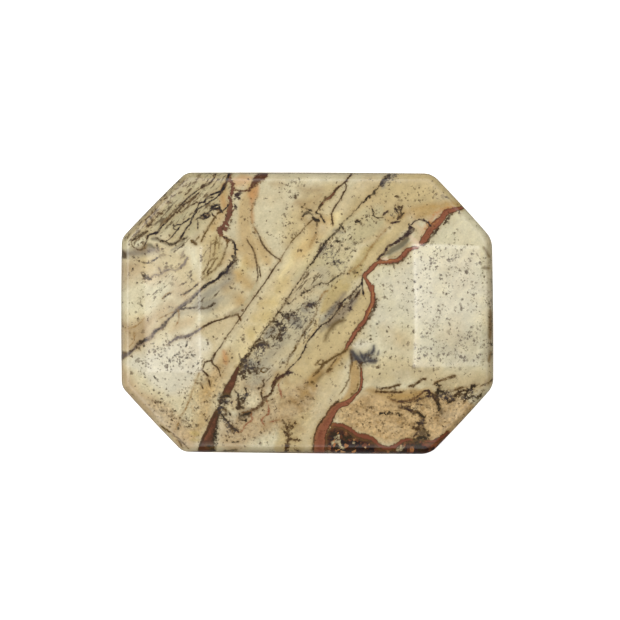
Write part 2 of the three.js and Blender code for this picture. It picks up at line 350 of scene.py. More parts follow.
# Smaller soft areas in the same form, painted over the mottling.
smudges = {
    "ochre side of the curved vein": ("deepOchre", 0.62, 8, 5, [[(252, 190, 5), (245, 206, 7),
        (245, 226, 8), (249, 244, 9), (252, 262, 8)], [(256, 240, 4), (266, 258, 6)], [(236, 272, 4),
        (248, 284, 5)], [(226, 288, 5), (240, 300, 5)]]),
    "orange side of the curved vein": ("orange", 0.6, 4, 3, [[(257, 186, 2), (253, 194, 4.4),
        (252, 202, 1.8), (252, 212, 1), (253, 222, 0.9)], [(222, 196, 2), (224, 204, 3)], [(224, 352, 1.5),
        (226, 362, 2)]]),
    "brown cloud by the fork": ("brownOchre", 0.4, 7, 8, [[(300, 188, 3), (308, 190, 5), (320, 190, 3)],
        [(298, 202, 3), (306, 206, 5), (318, 196, 4)], [(304, 218, 4), (312, 224, 5), (320, 218, 4)],
        [(272, 184, 2), (279, 184, 3)]]),
    "pale hollow by the maroon vein": ("greyCream", 0.8, 4, 3, [[(237, 202, 1), (236, 212, 1.6),
        (233, 222, 3.6), (229, 230, 4), (235, 238, 1.6)]]),
    "pale slope under the black vein": ("greyCream", 0.6, 8, 5, [[(236, 288, 4), (226, 300, 5)]]),
    "pink hollow at the top": ("pinkBuff", 0.9, 5, 2, [[(236, 182, 5), (248, 179, 4)]]),
    "ochre round the maroon vein": ("deepOchre", 0.6, 6, 4, [[(224, 186, 3), (224, 200, 4), (222, 214, 4),
        (214, 226, 4)]]),
    "grey pool at the left": ("mauveSlate", 0.7, 6, 6, [[(125, 254, 3), (136, 253, 4), (146, 251, 4.6),
        (153, 249.5, 4), (158, 251, 2)]]),
    "grey-green streaks at the left": ("slateGreen", 0.8, 2.4, 3, [[(152, 239, 1.5), (156, 239, 2),
        (162, 241.5, 1.4), (167, 244, 1.6), (172.5, 244.5, 1.6), (177, 241.5, 1.4), (182.5, 241, 1.4),
        (187, 237, 1)], [(172, 250, 0.7), (178, 246.5, 1.1), (184, 242, 0.8)], [(142, 249, 1),
        (150, 245, 1.6), (154, 248, 1)]]),
    "blue-grey slope under the black vein": ("blueGrey", 0.8, 8, 6, [[(200, 298, 4), (209, 293, 6),
        (220, 286, 5), (232, 277, 2.4)], [(196, 307, 4), (208, 304, 6), (218, 299, 3)]]),
    "dark cloud on the black vein": ("inkBlue", 0.7, 5, 9, [[(236, 262, 1), (232, 268, 2.6),
        (227, 272, 2.6), (220, 276, 1.4)]]),
    "olive shade among the brown streaks": ("oliveOchre", 0.5, 7, 3, [[(216, 240, 4), (218, 256, 6),
        (208, 274, 6)]]),
    "shade where the second vein starts": ("mauveGrey", 0.6, 5, 2, [[(228, 315, 1), (236, 312, 2.4),
        (242, 308, 1.5)]]),
    "blue-grey pockets in the grey band": ("blueGrey", 0.75, 4, 6, [[(320, 254, 2.5), (324, 248, 3),
        (327, 242, 2)], [(266, 336, 3), (272, 331, 4)], [(242, 370, 3), (250, 364, 6), (256, 366, 4)],
        [(336, 231, 1.5), (341, 232, 1.5)], [(384, 186, 3), (388, 178, 3), (394, 175, 2)], [(289, 316, 4),
        (298, 324, 5)], [(306, 308, 5), (312, 304, 4)], [(242, 416, 3), (250, 412, 3)], [(222, 398, 4),
        (226, 404, 3)]]),
    "pale gaps in the grey band": ("buff", 0.7, 5, 6, [[(300, 284, 4), (314, 276, 5)], [(330, 244, 4),
        (344, 248, 5)], [(290, 300, 3), (300, 298, 4)], [(266, 352, 5), (284, 352, 6)], [(238, 384, 3),
        (244, 392, 4)], [(308, 294, 3), (316, 292, 3)], [(272, 360, 4), (282, 366, 4)], [(226, 408, 3),
        (234, 406, 3)]]),
    "mauve slope right of the black vein": ("mauveGrey", 0.75, 4, 4, [[(360, 290, 1.5), (355, 298, 3.4),
        (346, 309, 4), (338, 317, 4), (329, 325, 3)], [(344, 294, 2), (338, 302, 2.4), (330, 312, 2.4)]]),
    "dark streak in the tan": ("bronze", 0.85, 4, 5, [[(343, 320, 1.4), (337, 323, 2.4), (331, 328, 3),
        (328, 333, 2), (325, 340, 1.6)]]),
    "brown smear below the branch": ("brownOchre", 0.6, 6, 8, [[(323, 371, 2), (316, 377, 4),
        (308, 384, 4)], [(338, 359, 1.4), (331, 366, 1.6)], [(300, 390, 3), (310, 396, 3)], [(292, 400, 3),
        (300, 408, 3)], (328, 372, 2)]),
    "olive wedge beside the rust vein": ("slateGreen", 0.9, 3, 3, [[(385, 255, 1), (393, 250, 3),
        (402, 244, 3.6), (408, 237, 2.4)]]),
    "brown floor of the wedge": ("brownOchre", 0.6, 3, 3, [[(388, 258, 1), (398, 254, 2), (405, 248, 1.6),
        (411, 242, 1)]]),
    "buff behind the dark branch": ("buff", 0.8, 3, 2, [[(414, 226, 1.5), (417, 234, 2.5), (413, 242, 1.6)],
        [(402, 253, 1), (396, 256, 1.6)], [(385, 258, 1), (382, 259, 1)], [(366, 283, 1.2),
        (368, 290, 1.6)]]),
    "pale smoke over the fan": ("paleCream", 0.8, 6, 6, [[(353, 345, 2), (360, 345, 4), (369, 344, 2)]]),
    "dark low part of the grey band": ("blueGrey", 0.5, 8, 7, [[(256, 374, 4), (268, 358, 6),
        (282, 338, 6)], [(246, 388, 3), (262, 380, 4)]]),
    "smoke beside the black vein": ("slateBlue", 0.6, 6, 9, [[(322, 322, 2.4), (330, 314, 3),
        (338, 306, 3)], [(322, 330, 1.6), (327, 323, 2)]]),
    "olive by the black vein": ("olive", 0.5, 6, 5, [[(292, 362, 3), (303, 350, 4), (312, 338, 3)]]),
    "brown clouds at the bottom": ("brownOchre", 0.42, 8, 9, [[(266, 428, 4), (276, 422, 4)],
        [(288, 420, 4), (300, 428, 4)], [(284, 404, 3), (300, 400, 3)]]),
    "dark smear below the branch": ("bronze", 0.55, 5, 8, [[(322, 375, 1.6), (314, 381, 3),
        (308, 385, 2)]]),
    "shelf at the lower right": ("deepOchre", 0.7, 3, 2, [[(390, 395.5, 1.6), (402, 396, 2.4),
        (414, 394.5, 2), (424, 390.5, 1.6)]]),
    "brown under the shelf": ("brownOchre", 0.5, 5, 6, [[(392, 401, 1.6), (406, 403, 2), (420, 398, 2)],
        [(378, 393, 1.4), (392, 391, 1.4)]]),
    "brown clouds of the lower right": ("brownOchre", 0.36, 8, 9, [[(414, 392, 4), (426, 402, 5)],
        [(438, 418, 5), (448, 410, 5)], [(396, 420, 4), (408, 424, 4)], [(274, 372, 4), (284, 380, 5)],
        [(356, 408, 3), (366, 404, 4)]]),
    "dark heart of the fan": ("slate", 0.8, 4, 7, [[(350.5, 353, 1), (354, 359, 2.4), (359, 362, 2.2)],
        [(359, 356, 1.4), (366, 354.5, 1.4)], (372, 352, 1.8)]),
    "grey smoke of the fan": ("slateBlue", 0.7, 8, 10, [[(351, 351, 1.5), (357, 357, 4), (366, 360, 4.4),
        (374, 358, 2)], [(374, 348, 1.6), (371, 355, 2)]]),
    "dark fan": ("inkBlue", 0.85, 2.4, 5, [[(350, 350, 0.8), (354, 355, 2), (358, 360, 2), (362, 363, 0.9)],
        [(352, 354, 1), (352, 361, 1), (351, 368, 0.5)], [(374, 346, 0.7), (373, 351, 1.2),
        (370, 354, 0.6)], [(366, 354, 0.5), (364, 360, 0.8)], [(370, 361, 1.2), (376, 361, 1)],
        [(369, 351, 0.4), (368, 358, 0.6)], [(378, 354, 0.5), (379, 351, 0.4)], [(360, 352, 0.5),
        (365, 362, 0.7)]]),
    "ochre side of the lower vein": ("deepOchre", 0.7, 3, 2, [[(355, 364, 3), (355, 376, 5),
        (354, 388, 4.6), (347, 398, 3), (340, 402, 1.4)]]),
    "ochre side of the brown branch": ("deepOchre", 0.6, 4, 3, [[(344, 353, 1), (339, 359, 2),
        (333, 365, 2), (328, 370, 1.4)], [(318, 374, 2), (312, 380, 4), (314, 388, 3)], [(306, 392, 3),
        (302, 396, 3)]]),
    "dark column over the pocket": ("slate", 0.85, 3, 6, [[(421, 440, 5), (423, 432, 3), (422, 424, 1.6),
        (421, 417, 2), (416, 412, 1.6)], [(441, 412, 0.8), (438, 404, 2), (437, 396, 2.4),
        (439, 388, 1.6)]]),
    "brown spots on the left edge": ("umber", 0.85, 2.5, 2, [[(120, 252, 4), (124, 256, 3.4)],
        [(120, 356, 4.5), (126, 354, 2.5)]]),
    "brown spots on the right edge": ("bronze", 0.8, 3, 3, [[(491, 310, 1), (491, 322, 2.4),
        (490, 338, 1.4)], [(491, 354, 2), (489, 360, 2)], [(484, 248, 1.2), (489, 256, 1.4)],
        [(483, 268, 0.8), (488, 268, 1.4)]]),
    "shade along the right edge": ("brownOchre", 0.5, 9, 5, [[(489, 236, 1.4), (490, 262, 2.4),
        (491, 300, 3), (491, 345, 3.4), (490, 384, 2)]]),
    "shade along the lower edges": ("bronze", 0.5, 9, 4, [[(486, 394, 2), (466, 418, 2.6), (440, 446, 3)],
        [(200, 451, 1), (250, 452, 1.6), (320, 452, 2.4), (420, 452, 3)]]),
    "shade along the upper left edge": ("bronze", 0.4, 6, 3, [[(126, 238, 0.6), (150, 211, 1),
        (184, 177, 1)]]),
    "olive blot": ("oliveOchre", 0.8, 3, 4, [[(192, 433, 2), (197, 434, 2.4)], [(192, 440, 1.4),
        (197, 440, 1.6)]]),
}

# The dark, glittering pocket at the bottom right, whose grains have colours of their own.
pocket = {
    "what": "pocket",
    "cover": 1.0,
    "soft": 1.4,
    "ragged": 3,
    "runs": [[(330, 440, 12), (336, 439.5, 14), (342, 440, 14), (350, 441.5, 13), (360, 444.5, 10.5),
              (370, 446, 9), (378, 449, 6), (386, 450.5, 4.5), (394, 450, 5), (400, 448, 7), (410, 447, 8),
              (420, 447.2, 7.8), (430, 447.5, 7.5), (440, 445.5, 9.5), (449, 443, 12)]],
    "grain": 2.4,  # grains to a millimetre
    "grains": [  # the colour at each place of the ramp
        (0.0, "black"), (0.16, "plum"), (0.32, "black"), (0.5, "darkMaroon"), (0.64, "greenBlack"),
        (0.76, "maroon"), (0.87, "redRust"), (0.95, "orange"), (1.0, "buff"),
    ],
}

# Dark and rusty veins, lines and spots, in the same form, with sharper edges. A row may end with
# the colour and width of a rim, or with how far its brown stain reaches.
veins = {
    "rust at the pocket's right end": ("redRust", 0.85, 2.4, 3, [[(424, 444, 2), (434, 444, 2.4),
        (444, 439, 2.2), (450, 433, 1.4)]], {"halo": 0.1}),
    "crystals in the pocket": ("buff", 0.75, 1.6, 3, [[(333, 443, 1), (337, 441, 1.4), (340, 446, 1.8)],
        [(335, 437, 0.8), (338, 436, 0.8)], (343, 448, 1.2), [(398, 450, 1.4), (403, 447, 1.6)],
        (344, 427, 0.5), (356, 431, 0.6), (357, 437, 0.6), (354, 443, 0.7), [(214, 448, 2),
        (220, 446, 1.6)]], {"halo": 0.1}),
    "dark green in the pocket": ("greenBlack", 0.9, 2.4, 4, [[(404, 444, 2), (412, 444, 4), (419, 446, 3)],
        [(346, 438, 3), (353, 437, 3)], [(328, 434, 2), (334, 434, 3)]], {"halo": 0.1}),
    "maroon inside the rim": ("maroon", 0.85, 3, 6, [[(330, 430, 2), (346, 431, 2.4), (358, 438, 2.4),
        (366, 441, 2.4), (374, 445, 2.2), (381, 450, 1.8)], [(404, 446, 1.4), (412, 444, 1.6)],
        [(327, 427, 2.6), (326.3, 440, 3.4), (326.3, 453, 3.4)]], {"halo": 0.1}),
    "rim of the pocket": ("redRust", 1.3, 1.2, 1.6, [[(322, 428, 1), (330, 424.5, 1.6), (338, 425, 1.4),
        (346, 427, 1.6), (352, 431, 1.8), (359, 435.5, 1.8), (367, 437, 1.8), (374, 440.5, 1.8),
        (381, 446.5, 1.8), (388, 448.5, 1.8), (395, 446.5, 1.6), (400, 442.5, 1.5), (406, 440, 1.2),
        (413, 439.5, 1)], [(426, 441, 1.2), (436, 441, 1.4), (442, 437, 1.4),
        (447, 433, 1)]], {"rim": "umber", "rimWidth": 0.7}),
    "brown side of the rust vein": ("orange", 0.6, 3.5, 3, [[(452, 207.5, 1.5), (442, 212, 3),
        (435, 219, 4), (428, 225, 3), (424, 232, 2)]], {"halo": 0.1}),
    "rust vein, dark edge": ("black", 0.9, 1.1, 2.2, [[(460, 210, 0.5), (452, 212.5, 1.6), (448, 218, 1.2),
        (444, 224, 1)], [(438, 229, 1.2), (431, 237, 1.4), (424, 245, 0.9)], [(410, 250, 0.6),
        (406.5, 255, 1.3), (402, 260.5, 1), (392, 264, 0.9), (384, 264, 0.5)], [(374, 298, 0.8),
        (375.5, 302, 1.4), (373, 311, 1.5), (368, 319, 1.3), (362, 327.5, 1), (357, 334, 0.8),
        (350, 345, 1)], [(332, 412, 3), (329, 420, 4.4), (322, 427, 4)], [(459, 210, 0.7), (460, 214, 0.6)],
        [(393, 263, 0.8), (394, 267, 0.7)], [(374, 299.5, 0.7), (378, 300, 0.6)], [(360, 328, 0.8),
        (363, 328, 0.6)]]),
    "rust vein": ("rust", 1.4, 0.9, 1.0, [[(464, 207, 0.6), (457, 209, 1.3), (451, 210.5, 1.9),
        (445, 213.5, 2.6), (441.5, 219, 2.8), (437, 223.5, 3), (432, 227.5, 2.8), (428.5, 233, 2.7),
        (425, 238.5, 2.5), (421, 243.5, 1.7)], [(417, 247.5, 1), (409, 249.5, 1.5), (404, 254, 1.8),
        (400.5, 258.5, 1.7), (391, 261.5, 1.5), (380, 261.5, 1.4), (374, 266, 1.6), (369, 271, 1.5),
        (364.5, 276, 1.7), (368, 282, 1.4), (371.5, 288, 1.7), (373, 296, 1.7), (372.5, 303, 1.8),
        (369, 310, 1.7), (366, 318, 1.5), (360, 326, 1.6), (356, 331, 1.5), (352, 338, 1.4), (348, 345, 1),
        (345, 350, 0.6)], [(360.5, 366, 0.3), (361.5, 374, 0.6), (361.5, 382, 0.8), (359, 391, 0.9),
        (354, 396, 1.1), (350, 400.5, 1.5), (345, 403.5, 2.2), (338, 405.5, 2.8), (332.5, 411, 3.4),
        (329, 417.5, 3.6), (325, 423.5, 4.4), (321, 432, 5), (319.6, 442, 5.2),
        (319.2, 456, 5.2)]], {"rim": "darkMaroon", "rimWidth": 0.8}),
    "red heart of the rust vein": ("redRust", 0.7, 1.6, 4, [[(456, 208, 0.5), (446, 211, 0.6),
        (441, 217, 0.7)], [(436, 223, 0.8), (430, 230, 0.9), (424, 239, 0.6)], [(412, 248.5, 0.5),
        (401, 258, 0.7), (386, 261.5, 0.6), (374, 266, 0.6)], [(370, 284, 0.6), (372.5, 296, 0.7),
        (369, 311, 0.7), (358, 328, 0.6)], [(342, 404.5, 1), (334, 409, 1.4), (330, 417, 1.6),
        (325, 423, 1.8)], [(321, 432, 2), (320, 442, 2.2), (320, 454, 2.2)]], {"halo": 0.1}),
    "pale knots by the rust vein": ("pinkCream", 0.85, 2, 3, [[(409, 236, 0.6), (413, 240, 1.6),
        (418, 245, 1.8)], (413, 244, 1), [(382, 258.5, 0.8), (386, 259, 0.9)]], {"halo": 0.1}),
    "pale line in the rust vein": ("orange", 0.45, 1.2, 1, [[(372, 288, 0.5), (373, 298, 0.5),
        (370, 310, 0.5), (366, 318, 0.4)], [(400, 259, 0.4), (388, 261, 0.5), (378, 263, 0.4)],
        [(434, 224, 0.8), (438, 221, 0.8)]], {"halo": 0.1}),
    "dark branch beside the rust vein": ("plum", 0.95, 1.0, 1.5, [[(409, 225, 0.9), (411.5, 229, 2.8),
        (407, 234, 2.4), (401, 239, 1.7), (395, 243, 1.3), (389, 246, 1.3), (386, 250, 1.1),
        (382, 255, 1.3), (377, 260, 1)], [(411, 225, 0.8), (416, 221, 0.8), (422, 219.5, 0.7),
        (427, 222, 1.1), (431, 226, 0.9)], [(398, 219, 1.2), (401, 216, 1.4), (399, 219, 1)],
        [(393, 223, 1), (398, 222, 1)], [(383, 215, 0.9), (387, 212, 1)]]),
    "foot of the maroon patch": ("maroon", 0.9, 1.6, 2.4, [[(263, 176, 3.6), (257.5, 181, 3),
        (252.5, 187, 1.6), (249, 190, 0.6)]], {"halo": 1}),
    "maroon patch at the top": ("maroon", 1.0, 1.2, 1.6, [[(268, 172, 1), (261, 176, 4.2), (256, 180, 3.2),
        (252, 186, 1.8), (249, 190, 0.9)], [(250, 190, 0.8), (243, 190.5, 0.9), (234, 190.5, 0.9)]]),
    "maroon vein at the top": ("redMaroon", 1.3, 1.0, 2.6, [[(222, 190, 0.6), (225, 184, 0.8),
        (229, 180.5, 1), (232, 183, 1), (233.5, 188, 1.2), (232, 192, 1.1), (230.5, 197, 1.2),
        (230.5, 203, 1.6), (230, 208, 2.6), (229.5, 213, 3), (227, 219, 1.9), (224.5, 224, 1.6),
        (220.5, 229, 2.6), (220.5, 234, 1.4), (223, 237, 1.1), (228, 240, 0.9)], [(230, 172, 1),
        (229, 180, 1.2)], [(222, 229, 1.4), (227, 229, 0.8)], [(226, 224, 1.2),
        (228.5, 225, 0.6)]], {"rim": "darkMaroon", "rimWidth": 0.4}),
    "plum blots at the top": ("plum", 0.9, 1.6, 3, [[(239.5, 193, 2.2), (237, 196, 2.8), (239, 198, 1.8)],
        (235, 199, 1.2), [(234, 204, 0.8), (236, 208, 1.4)], [(314, 218, 1.6), (316, 221, 1.6)],
        [(202, 217, 2.2), (208, 215, 2.4)], [(213, 208, 1.6), (218, 209, 2)], (350, 309, 1.8),
        (345, 306, 1.2), (337, 302, 1.2), (350, 297, 1.5), (207, 421, 1.4)], {"halo": 0.1}),
    "black vein of the left half": ("black", 0.95, 0.9, 0.9, [[(227, 239, 0.9), (233, 241, 1),
        (235, 246, 1), (235, 253, 1), (235, 259, 1.2), (231, 264, 1.3), (226, 270, 2), (221, 275, 1.7),
        (216, 280, 1.2), (210, 283, 1.3), (204, 287, 1.5), (200, 290, 0.9)], [(234, 257, 1.6),
        (236, 258, 0.8)], [(235, 249, 0.9), (238, 250, 0.6)], [(223, 237, 0.6), (229, 240, 0.7)]]),
    "grey run of that vein": ("mauveSlate", 0.95, 1.8, 0.9, [[(200, 290, 0.9), (193, 297, 1.5),
        (187, 302, 1.8), (181, 306.5, 1.6), (176, 310, 0.9), (172, 316, 0.9), (168, 320, 1.2),
        (165, 324, 2), (161, 328, 1.6), (155, 331, 1.8), (151, 337, 2), (145, 340.5, 2), (139, 344, 2.6),
        (134, 349, 1.6), (128, 354, 1.6), (122, 356, 2)]]),
    "dark side of the grey run": ("black", 0.8, 0.9, 0.9, [[(201, 290, 0.9), (194, 298, 0.6),
        (187, 304, 0.5), (179, 309.5, 0.7), (175, 313, 0.6), (171, 318, 0.6),
        (166, 322, 0.9)]], {"halo": 0.1}),
    "dark beads on the grey run": ("greenBlack", 0.9, 1.2, 2, [[(166, 322, 1.1), (164, 326, 1.5)],
        [(159, 329, 0.8), (155, 332, 1)], (153, 337, 1.2), [(148, 339, 1), (139, 343, 1.6)], (181, 336, 1),
        [(137, 347, 1), (139, 349, 0.8)], (186, 338, 0.8), (190, 338, 1)]),
    "second vein of the left half": ("umber", 0.95, 0.9, 0.9, [[(238, 314.5, 0.9), (232, 315.5, 1),
        (225, 318, 0.9), (219, 320, 0.8), (212, 322, 1.1), (207, 325, 1.2), (202, 328, 0.9)],
        [(238, 315, 0.8), (240, 319, 1.1)]]),
    "grey run of the second vein": ("mauveSlate", 0.95, 1.6, 1.2, [[(201, 328.5, 0.8), (194, 333, 1.2),
        (188, 336, 1.4), (181, 337, 1.8), (175, 339, 1.3), (171, 342, 1), (168, 344, 0.8)]]),
    "thin diagonal vein": ("umber", 0.95, 0.8, 0.6, [[(280, 261, 0.5), (276, 266, 0.6), (272, 271, 0.9),
        (268, 278, 0.6), (263, 285, 0.6), (258, 292, 0.7), (253, 299, 0.6), (248, 306, 0.6),
        (244, 312, 0.5), (240, 317, 0.6)], [(239, 319, 0.6), (234, 327, 0.3), (229, 333, 0.5),
        (225, 339, 0.3), (221, 346, 0.7), (217, 351, 0.4), (214, 356, 1.2), (212, 360, 1), (206, 362, 0.9),
        (203, 368, 0.4)], [(212, 360, 1), (213, 364, 0.9), (217, 367, 0.7), (219, 371, 0.5),
        (220, 375, 0.6)], [(203, 371, 0.9), (207, 375, 1)], [(201, 384, 0.8), (203, 388, 0.7)],
        [(209, 381, 0.9), (210, 385, 0.7)]]),
    "upper end of the thin vein": ("bronze", 0.7, 1.0, 0.8, [[(312, 220, 0.5), (306, 226, 0.5),
        (299, 234, 0.5), (292, 241, 0.7), (286, 250, 0.4), (280, 260, 0.5)]]),
    "lower end of the thin vein": ("brownOchre", 0.6, 1.4, 1.2, [[(199, 373, 0.5), (194, 386, 0.6),
        (190, 398, 0.9), (186, 408, 0.6), (181, 416, 0.6), (178, 424, 0.5), (174, 431, 0.5)]]),
    "black edge of the grey band": ("greenBlack", 0.9, 1.1, 1.8, [[(390, 174, 1.2), (384, 180, 1.4),
        (380, 185, 0.8), (374, 192, 0.8), (370, 196, 1.3), (364, 201, 0.6), (357, 208.5, 0.5),
        (350, 216, 0.5), (343, 223, 0.5), (340, 228, 1.5), (334, 234, 0.8), (327, 241, 1.3),
        (321, 249, 1.4), (316, 257, 1.1), (312, 263, 1.1), (307, 269, 0.5), (300, 280, 0.5),
        (293, 290, 0.5), (288, 298, 0.9), (283, 306, 0.4), (276, 316, 0.8), (271, 322, 0.7),
        (265, 329, 0.5), (260, 338, 0.7), (254, 345, 0.7), (249, 354, 0.9), (243, 361, 1.1),
        (238, 369, 1.2), (235, 375, 0.9)], [(373, 194, 1.2), (376, 193, 0.8)], [(341, 226, 1.2),
        (343, 229, 1)]]),
    "moss clots of the grey band": ("greenBlack", 0.9, 1.8, 6, [[(272, 321, 1.4), (278, 323, 1.8),
        (283, 328, 1.8), (281, 332, 1)], [(279, 313, 1.2), (283, 315, 1), (283, 319, 0.8)],
        [(287, 316, 1.8), (293, 315, 1.8)], [(252, 348, 1.4), (258, 345.5, 2), (265, 345, 1.4)],
        [(247, 357, 1.4), (242, 365, 1.4), (241, 372, 1.2), (244, 376.5, 1.6)], [(248, 366, 1),
        (250, 371, 1.2), (256, 369, 1.2), (257, 375, 1)], (258, 362, 1), [(306, 304, 1), (312, 305, 1.8),
        (317, 304, 1)], [(286, 301, 1), (289, 303, 0.8)], [(283, 330, 1), (278, 338, 0.8)],
        [(274, 337, 0.8), (281, 339, 0.8)]]),
    "rust wedge": ("maroon", 1.4, 1.2, 0.8, [[(238, 367, 0.8), (236, 373, 1.6), (233, 380, 2.6),
        (229, 388, 3.6), (226, 394, 3.2)], [(219, 409, 1.6), (214, 420, 3.2), (211, 430, 4.2),
        (208, 440, 6), (206, 456, 8)]], {"rim": "greenBlack", "rimWidth": 0.5}),
    "red side of the wedge": ("rust", 0.3, 2, 2, [[(233, 382, 1), (228, 390, 2)], [(214, 420, 1.6),
        (210, 430, 2), (206, 438, 2)]], {"halo": 0.1}),
    "dark side of the wedge": ("greenBlack", 0.8, 2.2, 4, [[(223, 396, 2.6), (220, 402, 2.4),
        (218, 410, 1.6), (218, 420, 1), (216, 432, 2), (214, 442, 2.6), (212, 452, 3)], [(225, 396, 1.6),
        (230, 396, 1.4)]], {"halo": 0.1}),
    "dark line of the wedge": ("umber", 0.9, 1, 1.2, [[(217, 410, 0.6), (211, 424, 0.6), (205, 436, 0.7),
        (200, 446, 0.7)]], {"halo": 0.1}),
    "black vein in the tan band": ("black", 0.95, 0.9, 1, [[(362, 279, 0.9), (361, 284, 0.9),
        (356, 289, 0.6), (351, 295, 0.9), (346, 299, 0.9), (341, 304, 1.4), (338, 309, 1), (334, 315, 0.7),
        (329, 321, 0.7), (322, 325, 0.8), (318, 329, 0.8), (313, 335, 0.9), (308, 341, 0.8),
        (305, 348, 0.8), (302, 354, 0.8), (298, 360, 0.5), (293, 365, 0.5), (288, 370, 0.8)],
        [(362, 281, 0.8), (362.5, 288, 1), (363, 293, 1.2)], [(360, 290, 0.8), (356, 296, 0.9)]]),
    "lower end of the black vein": ("umber", 1.0, 1.1, 1.2, [[(289, 371, 0.9), (284, 375, 1.5),
        (279, 379, 1.3), (276, 382, 1.5), (272, 386, 1.2), (272, 391, 1), (268, 396, 0.9),
        (262.5, 398.5, 1), (263, 403, 1.2), (257, 408, 1.4), (250, 411, 1.2), (242, 413, 0.9)],
        [(278, 374, 0.7), (275.5, 380, 0.8), (275, 384, 1)], [(263, 381, 0.8), (264, 384, 0.8),
        (262.5, 387, 0.8), (259, 388, 0.7)], [(262, 390, 0.7), (261.5, 394, 0.9), (262.5, 399, 1)],
        [(263, 400, 0.6), (268, 401, 0.7), (273, 399, 0.5)]]),
    "maroon knot on the black vein": ("plum", 0.8, 1.8, 3, [[(278, 379, 1.4), (285, 374.5, 1.8),
        (292, 373, 1.2)]], {"halo": 0.1}),
    "olive line left of it": ("bronze", 0.7, 1.4, 1.6, [[(317, 309, 0.6), (315, 316, 0.6), (311, 322, 0.8),
        (307, 328, 1), (303, 335, 0.7), (299, 341, 0.7), (295, 349, 0.9), (290, 356, 0.7),
        (287, 364, 0.7)]]),
    "beaded line over the tan band": ("greenBlack", 0.85, 1, 2.4, [[(344, 273, 0.6), (338, 276, 0.7),
        (332, 280, 0.8), (327, 283.5, 1.2), (322, 283, 1), (316, 285, 0.6), (311, 289, 0.6),
        (307, 291, 0.8), (303, 292.5, 1), (301, 295, 0.6)], (348, 274, 0.9), (358, 272.5, 0.7),
        (307, 305.5, 0.9)]),
    "soft olive line": ("brownOchre", 0.6, 2, 1.4, [[(385, 231, 0.8), (378, 238, 0.8), (372, 246, 1),
        (367, 254, 0.8), (363, 261, 1), (357, 267, 0.8), (350, 271, 0.8)], [(327, 291, 0.6),
        (322, 295, 0.8), (320, 300, 0.7)], [(316, 234, 0.6), (313, 240, 1), (310, 247, 0.6)]]),
    "curved vein, upper left": ("umber", 0.85, 1.0, 0.8, [[(247, 240, 0.5), (251, 246, 0.8),
        (254, 252, 0.9), (256, 260, 0.9), (257, 268, 0.8), (258, 276, 0.7), (256, 283, 0.4)],
        [(255, 228, 0.5), (259, 236, 0.7), (262, 243, 1), (267, 250, 0.9), (274, 256, 0.6),
        (280, 260, 0.4)], [(258, 264, 0.4), (260, 271, 0.6), (260.5, 277, 0.4)]]),
    "curved vein, soft lower part": ("olive", 0.8, 2, 1, [[(256, 283, 0.9), (252, 293, 1.1),
        (247, 301, 1.2), (240, 308, 1.1), (231, 315, 1)]]),
    "curved vein, soft upper part": ("brownOchre", 0.5, 2, 1, [[(257, 196, 0.6), (252.5, 207, 0.7),
        (251.5, 216, 0.7), (253, 224, 0.7), (256, 231, 0.7)]]),
    "fork at the top": ("umber", 1.0, 0.9, 0.7, [[(353, 172, 0.9), (349, 177, 0.9), (345, 182, 1),
        (340, 186, 1), (336, 190, 1.2), (333, 194, 1.4), (329, 198, 1.5), (325, 200, 1.2), (322, 204, 1.5),
        (319, 208, 1.1)], [(345, 183, 0.6), (346, 188, 0.8), (343, 194, 0.8), (339, 201, 0.7),
        (335, 207, 0.9), (332, 213, 0.8), (332, 219, 0.8), (333, 225, 0.6)], [(319, 208, 0.5),
        (316, 212, 0.4)]]),
    "heart of the fork": ("redRust", 0.7, 1, 1, [[(334, 193, 0.5), (329, 198, 0.8),
        (323, 203, 0.7)]], {"halo": 0.1}),
    "twigs by the fork": ("greenBlack", 0.9, 1, 1.4, [[(317, 213.5, 0.9), (320, 214.5, 0.8),
        (322, 218, 0.8), (325, 223, 0.6)], [(303, 216, 0.7), (306, 213, 1.3), (312, 214.5, 0.8)],
        (302, 212, 0.9), (302, 207, 1), [(307, 209.5, 0.9), (312, 211, 0.7)], (316, 233, 0.9),
        [(313, 218, 0.9), (317, 220, 1.8)], [(318, 221, 0.9), (317, 226, 0.4)], [(398, 205, 0.6),
        (401, 211, 0.8), (399, 216, 1)], [(402, 207, 0.5), (400, 213, 0.6)], [(396, 209, 0.6),
        (398, 213, 0.6)], [(404, 213, 0.6), (400, 217, 0.7)], (394, 218, 0.8), [(372, 208, 0.5),
        (373, 213, 0.5)], [(374, 216, 0.6), (378, 218, 0.5), (382, 217, 0.6)], (389, 221, 0.6),
        [(358, 221, 1), (361, 223, 0.9)], (362, 219, 0.7)]),
    "lines of the olive corner": ("black", 0.95, 0.8, 0.8, [[(229, 174, 1.2), (227, 180, 1.1),
        (224, 187, 1.6), (218, 196, 0.9), (211, 201, 0.8), (205, 205, 0.8), (199, 208.5, 0.8),
        (195, 213, 1), (192.5, 218, 1), (190, 224, 0.9), (187, 227.5, 0.9), (183.5, 233, 1),
        (180.5, 239, 0.9)], [(221, 191.5, 1), (214, 193.5, 0.9), (207, 198, 0.9), (204, 202, 1.1),
        (199.5, 203, 0.9), (197.5, 207.5, 0.7), (194, 213, 0.9)], [(198.5, 190, 0.7), (190, 196.5, 0.8),
        (183, 203, 0.8), (177, 209, 1), (174, 214, 1.1), (168.5, 220, 0.7), (161.5, 227, 0.8),
        (156, 233, 1.2), (148.5, 235.5, 1), (146.5, 241, 0.7), (144.5, 246, 0.6)], [(198, 193.5, 0.5),
        (188.5, 201.5, 0.7), (181.5, 207, 0.7), (177, 213, 0.6)], [(189, 219, 0.8), (185, 222, 0.8),
        (181, 224.5, 0.7), (177.5, 224.5, 0.7), (174.5, 226, 0.7)], [(174.5, 226, 0.7), (173.5, 228, 0.6),
